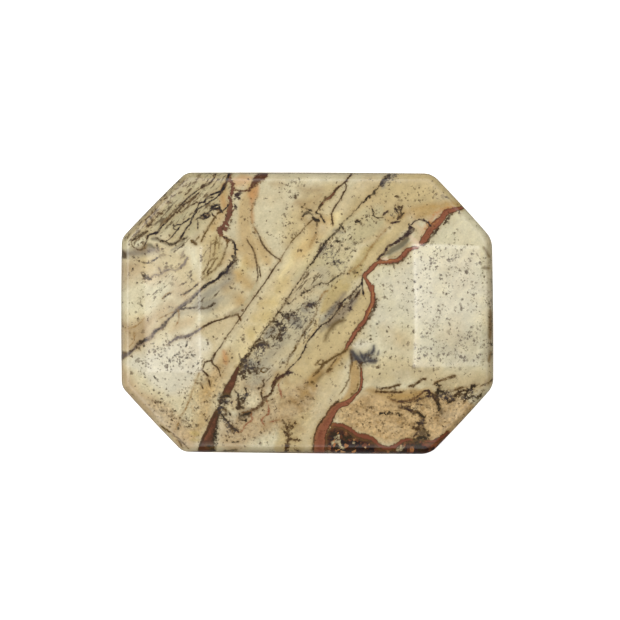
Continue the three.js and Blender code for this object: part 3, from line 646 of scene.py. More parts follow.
        (176.5, 229.5, 0.6)], [(179.5, 227, 0.7), (175, 233, 0.7), (170, 238.5, 0.7), (165.5, 241.5, 0.6)],
        [(174, 210, 0.6), (171, 214, 0.6)], [(176, 207, 0.6), (180, 212, 0.6)], [(206, 200, 0.5),
        (210, 198, 0.6), (213, 197, 0.6)]]),
    "brown lines of the olive corner": ("umber", 0.85, 0.9, 1, [[(215.5, 174, 0.7), (213.5, 179, 0.9),
        (208.5, 183.5, 1), (204, 185.5, 1.8), (201, 188, 0.9)], [(197, 202, 0.6), (191, 205.5, 0.8),
        (186.5, 208, 0.7), (182, 212, 0.5)], [(183, 207, 0.5), (166, 221, 0.5)], [(196, 197, 0.5),
        (188, 203, 0.6)], [(131, 240, 0.7), (135.5, 239, 0.8), (141, 236, 1.4), (145, 233, 1.6),
        (147, 231, 1)], [(131.5, 240, 0.5), (132, 244.5, 0.6), (135, 248, 0.5), (140, 250, 0.5),
        (144, 248, 0.5)], [(146, 219.5, 0.7), (149.5, 217, 0.9), (152.5, 219.5, 0.7)], [(152.5, 219.5, 0.6),
        (151, 224, 0.7), (147, 226, 0.6)], [(146, 220, 0.5), (145, 223, 0.6)], [(160, 213, 0.8),
        (162.5, 214, 0.7)], [(154, 214, 0.6), (152, 217, 0.6)], [(184, 186, 0.7), (186.5, 185.5, 0.5)],
        [(189, 190, 0.7), (191, 189, 0.5)], [(184.5, 181, 0.6), (186.5, 180, 0.5)], [(193, 183, 0.6),
        (195.5, 182, 0.6)], [(181, 184.5, 0.5), (182.5, 183.5, 0.5)], [(176, 189, 0.6), (178.5, 188, 0.5)],
        [(196.5, 179, 0.6), (199, 178, 0.6)], (198, 176, 0.6), (202, 178.5, 0.6), [(186, 194, 0.6),
        (188, 192.5, 0.6)], [(168, 202, 0.6), (170, 201, 0.5)], (172, 196, 0.6), [(179, 193, 0.5),
        (181, 192, 0.6)], [(164, 199, 0.5), (167, 198, 0.6)]]),
    "loops of the corner's edge": ("black", 0.92, 0.9, 1, [[(196.5, 219.5, 0.8), (200, 217, 1),
        (204, 214, 0.9), (208.5, 213.5, 1)], [(201, 218.5, 1.1), (205, 218.5, 1.2), (209, 216.5, 1)],
        [(204, 215.5, 0.9), (206, 217, 0.8)], [(197, 220, 0.7), (198, 224, 0.7), (197.5, 228, 0.5)],
        [(211, 208.5, 1), (214.5, 206, 1.3), (218.5, 205, 1.1)], [(214, 209, 1.1), (217.5, 208, 1.3)],
        [(218.5, 205, 0.9), (220, 208.5, 1.2), (222, 211.5, 1)], [(212, 209, 0.8), (209, 212, 0.8)],
        [(218.5, 212.5, 0.9), (222, 211.5, 0.8), (225.5, 208.5, 0.8), (228.5, 205, 0.7)],
        [(211.5, 213, 0.8), (215, 217, 1)], [(215, 217, 0.9), (213, 220, 0.8)]]),
    "olive line below the corner": ("bronze", 0.9, 1, 1, [[(214, 219, 0.9), (211.5, 223, 0.9),
        (208.5, 227.5, 1), (205, 234, 0.9), (201.5, 241, 0.7)], [(193, 241.5, 1.8), (195.5, 243.5, 1.7)],
        [(196, 240, 0.7), (199, 236, 0.5)], [(218, 213, 0.7), (215, 217, 0.7)]]),
    "brown streaks inside the bend": ("bronze", 0.75, 1.1, 1.4, [[(227, 240, 0.6), (227, 246, 0.7),
        (224, 254, 0.7), (221, 262, 0.9), (216, 268, 0.9), (211, 272, 0.7)], [(216, 238, 0.5),
        (215, 248, 0.7), (214, 256, 0.5)], [(214, 259, 0.6), (210, 261, 0.6), (207, 267, 0.6),
        (203, 274, 0.6)], [(217, 258, 0.5), (213, 264, 0.6), (208, 271, 0.6)], (211, 268, 0.9),
        [(209, 273, 0.5), (204, 278, 0.9), (202, 280, 0.7)], (218, 243, 1), (222, 244, 0.8),
        [(220, 238, 0.4), (219, 247, 0.4)], [(211, 243, 0.3), (210, 256, 0.3)]]),
    "grey line at the left": ("mauveGrey", 0.95, 1.6, 1.2, [[(152, 277, 0.7), (155, 275, 0.8),
        (160, 274.5, 0.9), (164, 271.5, 1.4), (169, 269.5, 1.1), (175, 270, 0.8), (180, 268, 1.1),
        (184, 264, 1.4), (187, 258, 1)], [(181, 258, 0.5), (183, 252, 0.6)], [(159, 268, 0.7),
        (161, 273, 0.8)]]),
    "dark hooks at the left": ("slate", 0.8, 1.4, 2.4, [[(142, 273, 0.6), (146, 275, 0.9), (149, 278, 1)],
        [(143, 279, 0.8), (146, 278, 0.7)], [(134, 258, 0.5), (140, 261.5, 0.6), (147, 263, 0.7),
        (154, 260.5, 0.7), (159, 257, 0.6), (164, 255, 0.9)], [(157, 246, 1), (158, 249, 1)],
        (133, 258, 0.8), [(144, 246, 0.6), (142, 249, 0.6)]]),
    "hair lines at the left": ("brownOchre", 0.7, 1, 1, [[(199, 283, 0.4), (193, 288, 0.5), (188, 291, 0.5),
        (184, 295, 0.7)], [(172, 292, 0.4), (166, 294.5, 0.4), (163, 298, 0.6)], [(173, 312, 0.3),
        (160, 318, 0.4)], [(178, 310, 0.4), (179, 318, 0.6), (176, 325, 0.5)], [(134, 334, 0.8),
        (133, 342, 0.5), (130, 346, 0.5)], [(129, 328, 0.8), (136, 326, 0.7), (144, 318, 0.5)]]),
    "dark lines at the left": ("slate", 0.85, 1.2, 1.6, [[(181, 295, 0.5), (190, 290.5, 0.8),
        (198.5, 282.5, 0.5)], [(163, 298, 0.5), (171, 293, 0.6)], [(179, 286, 0.5), (186, 282.5, 0.7)],
        [(181, 308.5, 1), (190, 308, 0.8), (197, 306.5, 0.7)], [(200, 308.5, 0.8), (209, 307, 1.1),
        (214, 303.5, 1.3)], [(143, 275, 1), (147, 278, 1.2), (151, 279, 1)],
        (145, 279, 0.8)], {"halo": 1.5}),
    "small lines of the left corner": ("greenBlack", 0.8, 1.1, 1.6, [[(133, 240, 0.8), (138, 236, 1),
        (147, 231.5, 1.1)], [(156, 238, 0.6), (160, 240, 0.8), (166, 242, 0.8), (170, 244.5, 1),
        (176, 243, 0.9), (180, 240, 0.7), (186, 238, 0.8)], [(174, 252, 0.5), (184, 244, 0.7),
        (190, 238, 0.5)], [(146, 221, 0.9), (148, 226, 0.8)], [(150, 217, 0.8),
        (152, 221, 0.7)]], {"halo": 2}),
    "trunk at the bottom": ("umber", 0.95, 1.5, 2.4, [[(282, 419, 0.7), (286, 426, 1.1), (289, 434, 1.5),
        (288, 444, 1.6), (286, 452, 1.8)], [(289, 434, 1), (291, 427, 0.9), (295, 423, 0.8)],
        [(289, 438, 0.9), (297, 440, 0.7)]]),
    "heavy end of the black vein": ("darkMaroon", 0.7, 1.4, 2, [[(283, 376, 1.2), (276.5, 380, 1.8),
        (273, 388, 1.4)], [(268, 396, 1), (262.5, 402, 1.5), (254, 410, 1.5),
        (243, 413.6, 0.9)]], {"halo": 2}),
    "dark blots of the low grey band": ("slate", 0.8, 3, 6, [[(240, 358, 1.6), (246, 363, 2.4),
        (243, 372, 2)], (252, 366, 1.6), (256, 371, 1.2), [(258, 346, 2), (264, 344, 2.4), (270, 347, 1.2)],
        [(240, 418, 1.8), (248, 415, 2)], [(220, 404, 2), (226, 414, 2.2)], [(228, 424, 1.8),
        (236, 430, 1.6)]], {"halo": 2}),
    "dark run of the branch": ("umber", 0.85, 1.1, 1.2, [[(346, 351, 0.7), (339.5, 354, 0.9),
        (333.5, 357.5, 1.1), (328, 361.5, 1.2), (323.5, 364, 0.9), (318.5, 364.5, 0.8)], [(324, 365, 0.8),
        (318, 371.5, 1), (313.5, 376, 0.6)], [(328, 371, 1.2), (331, 369, 1)], [(336, 359, 0.6),
        (331, 366, 0.5)]]),
    "lines left of the lower vein": ("bronze", 0.75, 1.2, 1, [[(350.5, 366, 0.5), (349.3, 377, 0.5),
        (345, 387, 0.5), (339.3, 394.3, 0.4)], [(358, 384, 0.5), (356, 390, 0.6),
        (351, 395, 0.4)]], {"halo": 1.5}),
    "lines over the shelf": ("umber", 0.9, 1.3, 1, [[(376.5, 391.4, 0.7), (384, 391.6, 0.9),
        (392, 392.2, 0.8), (402, 392, 0.6)], [(386.5, 388.6, 0.6), (393.5, 386.4, 1), (399.5, 384.6, 0.5)],
        [(409, 386.4, 0.7), (415, 384.3, 0.7), (419.3, 380.7, 0.8), (425, 379, 0.9)], [(435, 383.6, 0.8),
        (443.6, 379.3, 0.7), (449.3, 377, 0.7), (454.3, 375, 0.8)], [(455, 389.5, 0.6),
        (461, 387, 0.7)]], {"halo": 2}),
    "maroon line under the shelf": ("maroon", 0.9, 1.2, 1.6, [[(389.3, 398.6, 0.5), (398, 401.4, 0.8),
        (408, 400.7, 0.8), (415, 398, 0.9), (419.3, 395, 1), (423.6, 392, 1.1), (428, 391.2, 1),
        (432, 393.6, 0.9), (434.3, 397, 0.7)]], {"halo": 2}),
    "chain at the lower right": ("plum", 0.9, 1.3, 2, [[(400.7, 408, 0.7), (408, 407, 0.8),
        (412, 410.7, 1.1), (418, 412, 1.3), (422, 416.4, 1.6), (424, 420, 1.2)], [(420, 423, 1.6),
        (424, 423, 1)], [(412, 428, 1), (418, 429.3, 1.2)]], {"halo": 2}),
    "dark line of the lower vein": ("umber", 0.7, 1, 1.2, [[(350, 352, 0.5), (351.5, 360, 0.8),
        (352, 365, 0.5)], [(359.5, 363, 0.6), (360.5, 368, 0.5)], [(338, 401.5, 1), (333, 406, 0.7),
        (328, 412, 0.7), (323, 419, 0.9), (317.5, 427, 0.7), (314, 438, 0.7), (313, 450, 1)]]),
    "brown branch": ("bronze", 0.9, 1.1, 1.2, [[(346, 350, 0.9), (342, 352.5, 0.9), (337, 355, 0.8),
        (332, 358.5, 0.9), (327, 361.5, 0.8), (323, 363, 0.9), (321, 367, 0.6), (318, 370, 0.7),
        (314, 374, 0.6)], [(320, 360, 0.6), (316, 364, 0.8)], [(329, 369.5, 1.3), (331, 369, 1)],
        (312, 382, 1.2)]),
    "red hair lines at the bottom": ("rust", 0.75, 1.1, 1.4, [[(267, 402, 0.9), (268.5, 408, 1),
        (268, 415, 0.8), (263, 417, 0.7), (262, 420, 0.7), (264, 425, 0.6)], [(270, 422, 0.4),
        (278, 420, 0.5)], [(279, 382, 0.5), (279, 388, 1), (281, 393, 1), (281.5, 397, 0.7)],
        [(250, 414, 0.9), (252, 419, 1), (248, 423, 0.8), (245, 426, 0.8), (242, 431, 0.8),
        (237, 432, 0.6)]]),
    "dark twig at the bottom": ("umber", 0.85, 1.2, 2.4, [[(280, 427, 0.6), (284, 431, 0.8),
        (288, 437, 1.2), (287, 445, 1.2), (286, 454, 0.9)], [(290, 423, 0.8), (287, 428, 0.7)],
        [(295, 423, 0.8), (292, 428, 0.7)], [(290, 439, 0.8), (299, 440, 0.8)], [(295, 449, 0.6),
        (299, 452, 0.7)], (302, 418, 1)]),
    "curls beside the wedge": ("greenBlack", 0.92, 1, 1.4, [[(235, 391, 0.8), (238.5, 395.5, 0.9),
        (238.5, 402, 1.3), (240.5, 407.5, 1.3)], [(244.5, 387, 0.7), (246.5, 392.5, 0.9), (245.5, 397, 0.8),
        (243, 401.5, 0.7)], [(241, 399, 0.9), (244, 398, 0.9)], [(238, 408, 1.4), (243, 407.5, 1.2)],
        [(223, 397, 1.3), (227, 396, 1.2), (231, 398, 0.8)], [(223, 401, 1.1), (227, 403.5, 1.1)],
        [(218.5, 410, 1.1), (221, 413, 1), (224.5, 418.5, 1.3), (228.5, 423, 1.1)], [(221, 407, 1),
        (225, 410, 1)], [(220, 405, 0.9), (222, 401, 0.9)], [(227, 421.5, 0.9), (231, 426, 1.1),
        (235, 430, 1.3), (238, 431.5, 1)], [(239, 418, 1.2), (243, 415.5, 1.5), (247, 414, 1.3),
        (250, 412.5, 1.1)], [(240, 414, 0.8), (241, 420, 0.9), (245, 419.5, 1)], (232, 402, 0.8),
        (227, 440, 1), [(233, 442, 0.8), (237, 442, 0.8)], [(208, 446, 0.8), (212, 446, 0.8)],
        [(225, 451, 0.6), (236, 450, 0.6)], [(229, 413, 0.9), (231, 416, 0.7)], (233, 409, 0.7)]),
    "ring in the grey band": ("bronze", 1.0, 0.8, 0.4, [[(260.5, 371, 0.7), (262, 369, 0.7),
        (265, 368, 0.7), (267.5, 369, 0.7)], [(267.5, 369, 0.7), (266, 371.5, 0.7), (263, 372.5, 0.7),
        (260.5, 371, 0.7)]], {"halo": 0.1}),
    "olive lines at the lower right": ("umber", 0.8, 1.4, 1.8, [[(378, 389, 0.4), (386, 388, 0.7),
        (393, 386.5, 0.9), (400, 384.5, 0.5)], [(374, 391.5, 0.5), (382, 392, 0.8), (392, 392, 0.8),
        (404, 391.5, 0.5)], [(409, 386, 0.4), (414, 386, 0.8), (418, 383, 0.7), (421, 380, 0.9),
        (425, 379, 0.6)], [(437, 382, 0.5), (443, 380.5, 0.5), (449, 378.5, 0.5), (454, 376, 0.8)],
        [(452, 391, 0.5), (458, 389, 0.6), (464, 387, 0.5)], [(481, 386, 0.5), (487, 383, 0.7),
        (493, 380, 0.7)], [(453, 396, 0.6), (457, 394, 0.7), (460, 393, 0.5)]]),
    "dark clots at the lower right": ("greenBlack", 1.0, 1.3, 3, [[(477, 385, 0.8), (474, 385.5, 1.4),
        (471, 388, 1.6), (467, 392, 1.2), (465, 398, 0.8)], [(464, 402, 0.7), (467, 398, 1),
        (472, 396.5, 1.3), (478, 397, 1.1), (483, 390, 0.5)], [(449, 403, 1), (453.5, 399, 1.2),
        (456.5, 394, 0.9), (461, 391, 0.6), (466, 390, 0.8)], [(437, 384, 1.2), (440, 388, 0.8)],
        [(438, 391, 1.8), (437, 398, 2.2), (438, 404, 1.8), (439, 411, 1)], [(440, 391, 1.2),
        (444, 393, 1.5), (446, 398, 1.4), (450, 402, 1)], [(426, 394, 0.9), (430, 393, 1.4),
        (434, 397, 1.4)], [(471, 386, 0.8), (470, 391, 1)], [(402, 408.6, 0.5), (409, 410, 1.2),
        (414, 414, 1.5), (418, 413, 1.4), (423, 417, 1.4)], [(419, 423, 1.3), (425, 423.5, 1.1)],
        [(380, 413, 0.6), (387, 413.5, 1.3), (391, 413, 0.7)], [(397, 412, 0.6), (400, 416, 0.9)],
        [(419, 430, 1), (424, 429, 1.2), (428, 435, 1.4)], [(415, 439, 1.2), (421, 438, 2),
        (428, 438, 1.4)], [(413, 427, 0.7), (419, 428.6, 0.9)]]),
    "plum lines at the lower right": ("plum", 0.8, 1.3, 2.6, [[(389, 397, 0.4), (396, 400, 0.6),
        (404, 402, 0.6), (412, 402, 1), (418, 400, 1.2), (424, 397.5, 1.1), (430, 396, 1), (435, 399, 1.4)],
        [(422, 392, 0.9), (428, 391, 1.1), (432, 394, 1)], [(400, 409, 0.7), (404, 407.5, 0.9),
        (408, 409, 1), (412, 413, 1.4)], [(417, 404, 0.8), (421, 404.5, 1)], [(410, 426, 0.7),
        (416, 428, 1)], (404, 418, 0.8), [(412, 437, 0.8), (416, 434, 1)]]),
    "brown line at the lower left": ("bronze", 0.85, 1.1, 1.6, [[(161, 426, 0.8), (166, 429.5, 0.9),
        (170, 432, 1.1)], [(173, 434, 0.6), (178, 438, 0.8), (183, 443, 0.8), (188, 448, 0.7)],
        [(181, 441, 0.5), (186, 446, 0.5)], (184, 439, 0.7), [(178, 440, 0.7), (182, 447, 0.5)]]),
    "large specks at the lower left": ("greenBlack", 0.8, 1.4, 1.6, [(153, 343.5, 0.9), (153.5, 350, 1),
        (158, 348.5, 1), (162, 349, 0.6), (165, 350.5, 1), [(163, 355, 0.5), (161, 357, 0.4)],
        [(169, 360, 0.8), (170, 362, 0.8)], (162, 363, 0.8), (158, 369, 0.8), (173, 366, 0.8),
        [(174, 356, 0.5), (179, 353.5, 0.6)], (181, 357, 0.6), (187, 358, 1.1), [(192, 355, 0.9),
        (194, 357, 0.5)], (144, 346, 0.8), [(186, 346, 0.8), (187, 342, 0.6)], (190, 338, 0.8),
        [(154, 376, 0.4), (158, 381, 0.7)], [(144, 373, 0.5), (145, 377, 0.5)], (165, 379, 0.7),
        (138, 383, 0.6), (154, 390, 0.7), (159, 393, 1), (162, 399, 0.9), (164, 403, 0.8), (170, 402, 0.7),
        (173, 409, 0.8), (175, 411, 0.8), (187, 391, 1), (180, 417, 1.1), (178, 428, 0.9), (197, 426, 1),
        (193, 366, 0.8), (198, 363, 0.8), (188, 372, 0.7), (192, 373, 0.7), (140, 298.5, 0.8),
        (137, 282.5, 0.7), (133, 268.5, 1.1), (129, 273, 0.7), (136, 312, 1.1), [(138, 303, 0.6),
        (142, 306, 0.8)], (141, 290, 0.6), (144, 267, 0.7), (213.5, 303.5, 0.9), (211.5, 306, 0.9),
        (230.5, 287, 1), (223.5, 366.5, 0.9), (216, 380, 0.8), (232, 358, 0.6), (266, 269, 0.5),
        (275, 429.5, 0.8)], {"halo": 0.1}),
    "large specks at the right": ("greenBlack", 0.8, 1.4, 1.6, [[(377, 324, 0.8), (379, 322.5, 0.8)],
        (387, 331, 0.8), (404, 346, 0.8), (391, 348, 1), (441, 275, 1), (421, 287, 1), (423, 291, 0.7),
        (415, 281.5, 0.8), (417, 274, 0.7), (406, 288, 0.8), (407, 310, 1), (391, 309, 0.7),
        (462, 299.5, 1), (439, 306, 1.1), (422, 337, 1.1), (447, 319, 0.9), (471, 312, 0.9),
        (452, 258.5, 1), (457, 250.5, 0.8), (448, 273, 0.6), (442, 279, 0.8), (453, 286, 0.7),
        (463, 281.5, 0.7), (450, 325, 0.8), (458, 323, 0.7), (415, 348, 0.8), (377, 387, 0.8),
        (363, 424, 0.9), (357, 411, 0.9), (415, 200.5, 0.8), (402, 192.5, 0.6), (446, 197, 0.7),
        (423, 191.5, 0.6), (343, 239.5, 0.9), [(336, 240, 0.7), (339, 242, 0.6)], (342, 245, 0.9),
        (339, 247, 0.6), [(345, 249.5, 0.5), (349, 248, 0.8)], (353, 250.5, 0.8), (352, 257, 0.9),
        [(359, 243.5, 0.5), (362, 241.5, 0.7)], (360, 221, 0.9), (361, 225, 0.6), [(355, 223, 0.5),
        (357, 221, 0.4)], [(334, 261, 0.5), (335, 265, 0.7)], (361, 340, 0.5),
        (409, 224, 0.5)], {"halo": 0.1}),
}

# Where olive-black specks lie: how thickly, how wide the edge fades, and the runs.
speckFields = {
    "specks of the right field": (0.55, 20, [[(385, 290, 24), (440, 290, 54), (480, 300, 44)],
        [(372, 356, 10), (420, 366, 14), (470, 372, 12)]]),
    "upper right specks": (0.95, 14, [[(420, 275, 8), (450, 262, 16), (480, 290, 20)], [(430, 350, 10),
        (460, 348, 20), (485, 345, 18)]]),
    "top specks": (1.0, 12, [[(290, 184, 10), (292, 205, 12), (296, 226, 10)], [(266, 240, 5),
        (285, 238, 6)]]),
    "lower left specks": (0.85, 14, [[(140, 358, 8), (170, 360, 18), (198, 366, 12)]]),
    "bottom left specks": (0.85, 12, [[(146, 402, 10), (172, 416, 12), (194, 424, 16)]]),
    "grey band specks": (0.95, 14, [[(352, 236, 14), (336, 252, 14)], [(372, 216, 8), (356, 226, 8)]]),
    "left specks": (0.45, 16, [[(130, 275, 10), (150, 290, 16)], [(126, 330, 12), (150, 320, 12)]]),
    "top right specks": (0.5, 16, [[(380, 200, 14), (440, 192, 16)]]),
    "inner strip specks": (0.65, 14, [[(232, 340, 10), (240, 330, 6)], [(196, 390, 16), (212, 380, 14)]]),
    "lower right specks": (0.6, 16, [[(350, 410, 14), (400, 420, 16), (450, 408, 18)]]),
    "bottom specks": (0.5, 14, [[(300, 395, 20), (260, 430, 20)]]),
    "corner specks": (0.5, 12, [[(150, 215, 10), (195, 190, 14)]]),
}

# Where fine black moss grows, in the form of the specks' fields.
mossFields = {
    "upper moss": (0.68, 8, [[(326, 250, 7), (338, 262, 8)], [(312, 306, 8), (296, 318, 10), (282, 330, 10),
        (262, 346, 9), (250, 364, 10), (242, 376, 6)]]),
    "wedge moss": (0.8, 6, [[(226, 402, 6), (222, 416, 5), (230, 428, 6)], [(240, 402, 6), (246, 396, 5)],
        [(386, 182, 5), (392, 176, 5)], [(396, 213, 5), (402, 208, 4)]]),
    "lower right moss": (0.7, 6, [[(436, 398, 6), (446, 398, 6), (468, 396, 7)], [(420, 430, 5),
        (424, 420, 4)], [(232, 264, 5), (226, 272, 4)], [(364, 358, 6), (374, 358, 4)]]),
    "middle moss": (0.55, 8, [[(340, 308, 5), (330, 320, 5)], [(314, 326, 6), (304, 336, 6)],
        [(356, 292, 5), (350, 300, 5)], [(406, 404, 6), (420, 400, 5)]]),
}

# Where short dark dashes run along the banding.
dashFields = {
    "dashes of the olive corner": (1.0, 6, [[(128, 240, 6), (150, 220, 18), (188, 196, 22),
        (222, 178, 12)]]),
    "dashes of the grey band": (0.6, 10, [[(340, 240, 12), (318, 274, 16), (302, 306, 17), (284, 336, 18),
        (264, 366, 16)]]),
    "dashes at the left": (0.5, 12, [[(206, 276, 8), (216, 246, 8)], [(150, 300, 10), (190, 276, 8)]]),
    "dashes under the black vein": (0.7, 8, [[(198, 304, 6), (230, 284, 6)], [(338, 318, 6),
        (352, 300, 6)]]),
}

# Where the stone is granular, like cemented sand.
grainFields = {
    "bottom sand": (0.6, 16, [[(240, 432, 16), (290, 410, 22), (310, 400, 14)]]),
    "lower right sand": (1.0, 10, [[(350, 414, 14), (400, 420, 20), (460, 404, 22)]]),
    "lower left sand": (0.8, 14, [[(200, 400, 16), (215, 375, 10)], [(186, 428, 14), (160, 410, 12)]]),
    "wedge sand": (0.7, 12, [[(250, 390, 10), (256, 400, 14)]]),
}

jasperFinish = {
    "light": 1.12,  # how much brighter than its paint the lights make the stone
    "sheen": 0.012,  # how much the lights' reflection adds
    "wobble": (1.6, 0.16),  # the veins' fine waver: waves to a millimetre, and millimetres
    "drift": (0.35, 1.4),  # the same for the soft areas
    "raggedness": (3.6, 3.8),  # a vein's edge: waves to a millimetre, and how much rougher
    "cloudWaves": 0.5,  # the same waves for a soft area's edge
    "fieldEdge": 6,  # how far the edges of the fields wander, on the drawing
    "baseWaves": 0.35,  # waves to a millimetre from buff to cream under all the rest
    "stains": [  # colour, waves to a millimetre, threshold and cover of broad patchy tints
        ("pinkTan", 0.22, 0.5, 0.35),
        ("ochre", 0.33, 0.52, 0.3),
        ("paleCream", 0.27, 0.53, 0.3),
    ],
    "stainSharpness": 5.0,
    "mottling": [(0.7, 0.3), (2.0, 0.35), (5.4, 0.45)],  # waves to a millimetre, brightness swing
    "streaks": {
        "turn": 50,  # degrees from the stone's length
        "along": 0.3,  # waves to a millimetre along and across the banding
        "across": 1.2,
        "swing": 0.45,
    },
    "speckSizes": [  # cells to a millimetre, greatest radius, shares in the fields and in moss
        (4.4, 0.13, 0.3, 0.9),
        (3.0, 0.19, 1.0, 0.9),
        (1.6, 0.32, 0.5, 0.8),
    ],
    "speckForm": {
        "wobble": (6.0, 0.45),  # waves to a millimetre, and millimetres
        "leastRadius": 0.3,  # share of the greatest radius
        "softness": 0.5,  # share of the radius
        "leastShade": 0.4,  # share of the cover
    },
    "crowding": {  # the specks' clusters
        "waves": 1.0,  # to a millimetre
        "finer": 1.6,  # times as many waves in the moss
        "contrast": 6.0,
        "middle": 0.45,
        "leastField": 0.2,
    },
    "speckCover": 0.85,
    "tint": (0.8, 6.0, 0.6),  # from brown to blue: waves to a millimetre, contrast and middle
    "moss": {
        "fine": 5.0,  # waves to a millimetre
        "clumps": 1.6,
        "clumping": 1.0,  # weight of the clumps against the fine noise
        "threshold": 0.32,
        "field": 0.34,  # how far the fields and the veins lower the threshold
        "veins": 0.17,
        "sharpness": 9.0,
        "cover": 0.8,
    },
    "dashes": {
        "along": 0.7,  # waves to a millimetre along and across the banding
        "across": 2.6,
        "threshold": 0.07,
        "field": 0.1,  # how far the fields lower the threshold
        "leastField": 0.01,  # there are no dashes where the field is less
        "sharpness": 12.0,
        "cover": 0.8,
    },
    "sand": (3.0, 1.6),  # waves to a millimetre and the swing of the brightness
    "sandStain": (1.8, 0.03, 9.0, 0.55),  # patches: waves to a millimetre, threshold, sharpness, cover
    "halo": (5.0, 0.34),  # how far a vein's brown stain reaches on the drawing, and its cover
    "leastHalo": 0.5,  # a shorter one leaves no stain
    "fading": (1.4, 2.4),  # waves to a millimetre and swing of the veins' cover along them
    "roughness": 0.035,
    "specular": 0.5,
    "groundRoughness": 0.6,  # of the girdle and the back, which aren't polished
    "groundSpecular": 0.05,
    "groundEdge": 6.0,  # how sharply the polish ends at the girdle's top
    "backEdge": 4.0,  # how sharply the girdle's shade ends at the back
    # The wall shade is painted shade: it darkens the colour of the girdle's wall.
    "wallShade": 0.15,  # how much darker the girdle's wall is
    "ior": 1.54,
    "dip": (0.5, 0.3),  # how far the veins slide for each millimetre down the girdle
    # The rim shade is painted shade: it darkens the colour of the shoulder where it drops below the dome's
    # curve.
    "rimShade": (1.2, 0.42),  # millimetres below the dome's curve, and the brightness lost there
}


def namedRows(table, keys):
    # Each row of a table as a dictionary. A row's last value may hold settings of its own.
    for what, row in table.items():
        own = row[len(keys)] if len(row) > len(keys) else {}
        yield {"what": what, **dict(zip(keys, row)), **own}


def screenToPaint(name):
    # The linear value of a screen colour by the usual formula, less the reflection, divided by the
    # light.
    value = np.array(colours[name]) / 255
    linear = np.where(value <= 0.04045, value / 12.92, ((value + 0.055) / 1.055) ** 2.4)
    darkest = 0.002
    paint = np.clip(linear - jasperFinish["sheen"], darkest, 1) / jasperFinish["light"]
    return (*paint.tolist(), 1.0)


def addNode(tree, kind, inputs, **settings):
    node = tree.nodes.new(kind)
    for name, value in settings.items():
        setattr(node, name, value)
    for key, value in inputs.items():
        if isinstance(value, bpy.types.NodeSocket):
            tree.links.new(value, node.inputs[key])
        else:
            node.inputs[key].default_value = value
    return node


def maths(tree, operation, *values, clamp=False):
    # The clamp is a node of its own. Cycles puts off a maths node's own clamp to the end of the
    # material, and a long material then runs out of room.
    inputs = dict(enumerate(values))
    result = addNode(tree, "ShaderNodeMath", inputs, operation=operation).outputs[0]
    return addNode(tree, "ShaderNodeClamp", {"Value": result}).outputs[0] if clamp else result


def vectorMaths(tree, operation, *values, output=0):
    inputs = dict(enumerate(values))
    return addNode(tree, "ShaderNodeVectorMath", inputs, operation=operation).outputs[output]


def mixColours(tree, factor, first, second):
    inputs = {0: factor, 6: first, 7: second}
    return addNode(tree, "ShaderNodeMix", inputs, data_type="RGBA").outputs[2]


def brighten(tree, colour, tone):
    inputs = {"Color": colour, "Value": tone}
    return addNode(tree, "ShaderNodeHueSaturation", inputs).outputs[0]


def colourRamp(tree, value, bands):
    # Each band is a position and its colour, from the lowest position to the highest.
    ramp = addNode(tree, "ShaderNodeValToRGB", {0: value})
    stops = ramp.color_ramp.elements
    while len(stops) < len(bands):
        stops.new(0.5)
    for stop, (position, colour) in zip(stops, bands):
        stop.position = position
        stop.color = colour
    return ramp.outputs[0]


def noise(tree, place, scale, detail=2.0, roughness=0.5, offset=(0, 0, 0)):
    # Noise that swings either way from 0. The offset gives each use its own pattern.
    moved = addNode(tree, "ShaderNodeMapping", {"Vector": place, "Location": offset}).outputs[0]
    texture = addNode(tree, "ShaderNodeTexNoise", {
        "Vector": moved, "Scale": scale, "Detail": detail, "Roughness": roughness,
    })
    return maths(tree, "SUBTRACT", texture.outputs[0], 0.5)


def newGroup(name, inputs, outputs):
    group = bpy.data.node_groups.new(name, "ShaderNodeTree")
    for inOut, sockets in (("INPUT", inputs), ("OUTPUT", outputs)):
        for socketName, kind in sockets.items():
            group.interface.new_socket(name=socketName, in_out=inOut, socket_type="NodeSocket" + kind)
    given = group.nodes.new("NodeGroupInput").outputs
    results = group.nodes.new("NodeGroupOutput").inputs
    return group, given, results


def makeEdgeGroup():
    # The mask is 1 well inside a marking and falls to 0 over the softness, half of it outside.
    # Noise moves the edge to and fro by the raggedness. The mask is then times the cover and the
    # fading together, which never make it more than it was. The rim reaches further out by its
    # width. The halo is the square of a longer fall outside the edge.
    group, given, results = newGroup("markingEdge", {
        "Depth": "Float", "Noise": "Float", "Fading": "Float", "Raggedness": "Float",
        "Sharpness": "Float", "Cover": "Float", "Reach": "Float", "Rim Width": "Float",
    }, {"Mask": "Float", "Rim": "Float", "Halo": "Float"})
    moved = maths(group, "MULTIPLY_ADD", given["Noise"], given["Raggedness"], given["Depth"])
    for name, outwards in (("Mask", None), ("Rim", given["Rim Width"])):
        inside = moved if outwards is None else maths(group, "ADD", moved, outwards)
        mask = maths(group, "MULTIPLY_ADD", inside, given["Sharpness"], 0.5, clamp=True)
        faded = maths(group, "MULTIPLY", mask, given["Fading"])
        covered = maths(group, "MULTIPLY_ADD", mask, given["Cover"], faded)
        group.links.new(maths(group, "MINIMUM", covered, mask, clamp=True), results[name])
    fall = maths(group, "DIVIDE", moved, given["Reach"])
    fall = maths(group, "ADD", fall, 1.0, clamp=True)
    group.links.new(maths(group, "MULTIPLY", fall, fall), results["Halo"])
    return group


def waver(tree, place, waves, reach):
    # The place in plan, moved by up to half the reach each way. The last node drops the height. It
    # also lets Cycles work each mask out just before its colour, which keeps the material small.
    texture = addNode(tree, "ShaderNodeTexNoise", {"Vector": place, "Scale": waves, "Detail": 2.0})
    swing = vectorMaths(tree, "SUBTRACT", texture.outputs["Color"], (0.5, 0.5, 0.5))
    moved = vectorMaths(tree, "MULTIPLY_ADD", swing, (reach, reach, 0), place)
    return addNode(tree, "ShaderNodeMapping", {"Vector": moved, "Scale": (1, 1, 0)}).outputs[0]


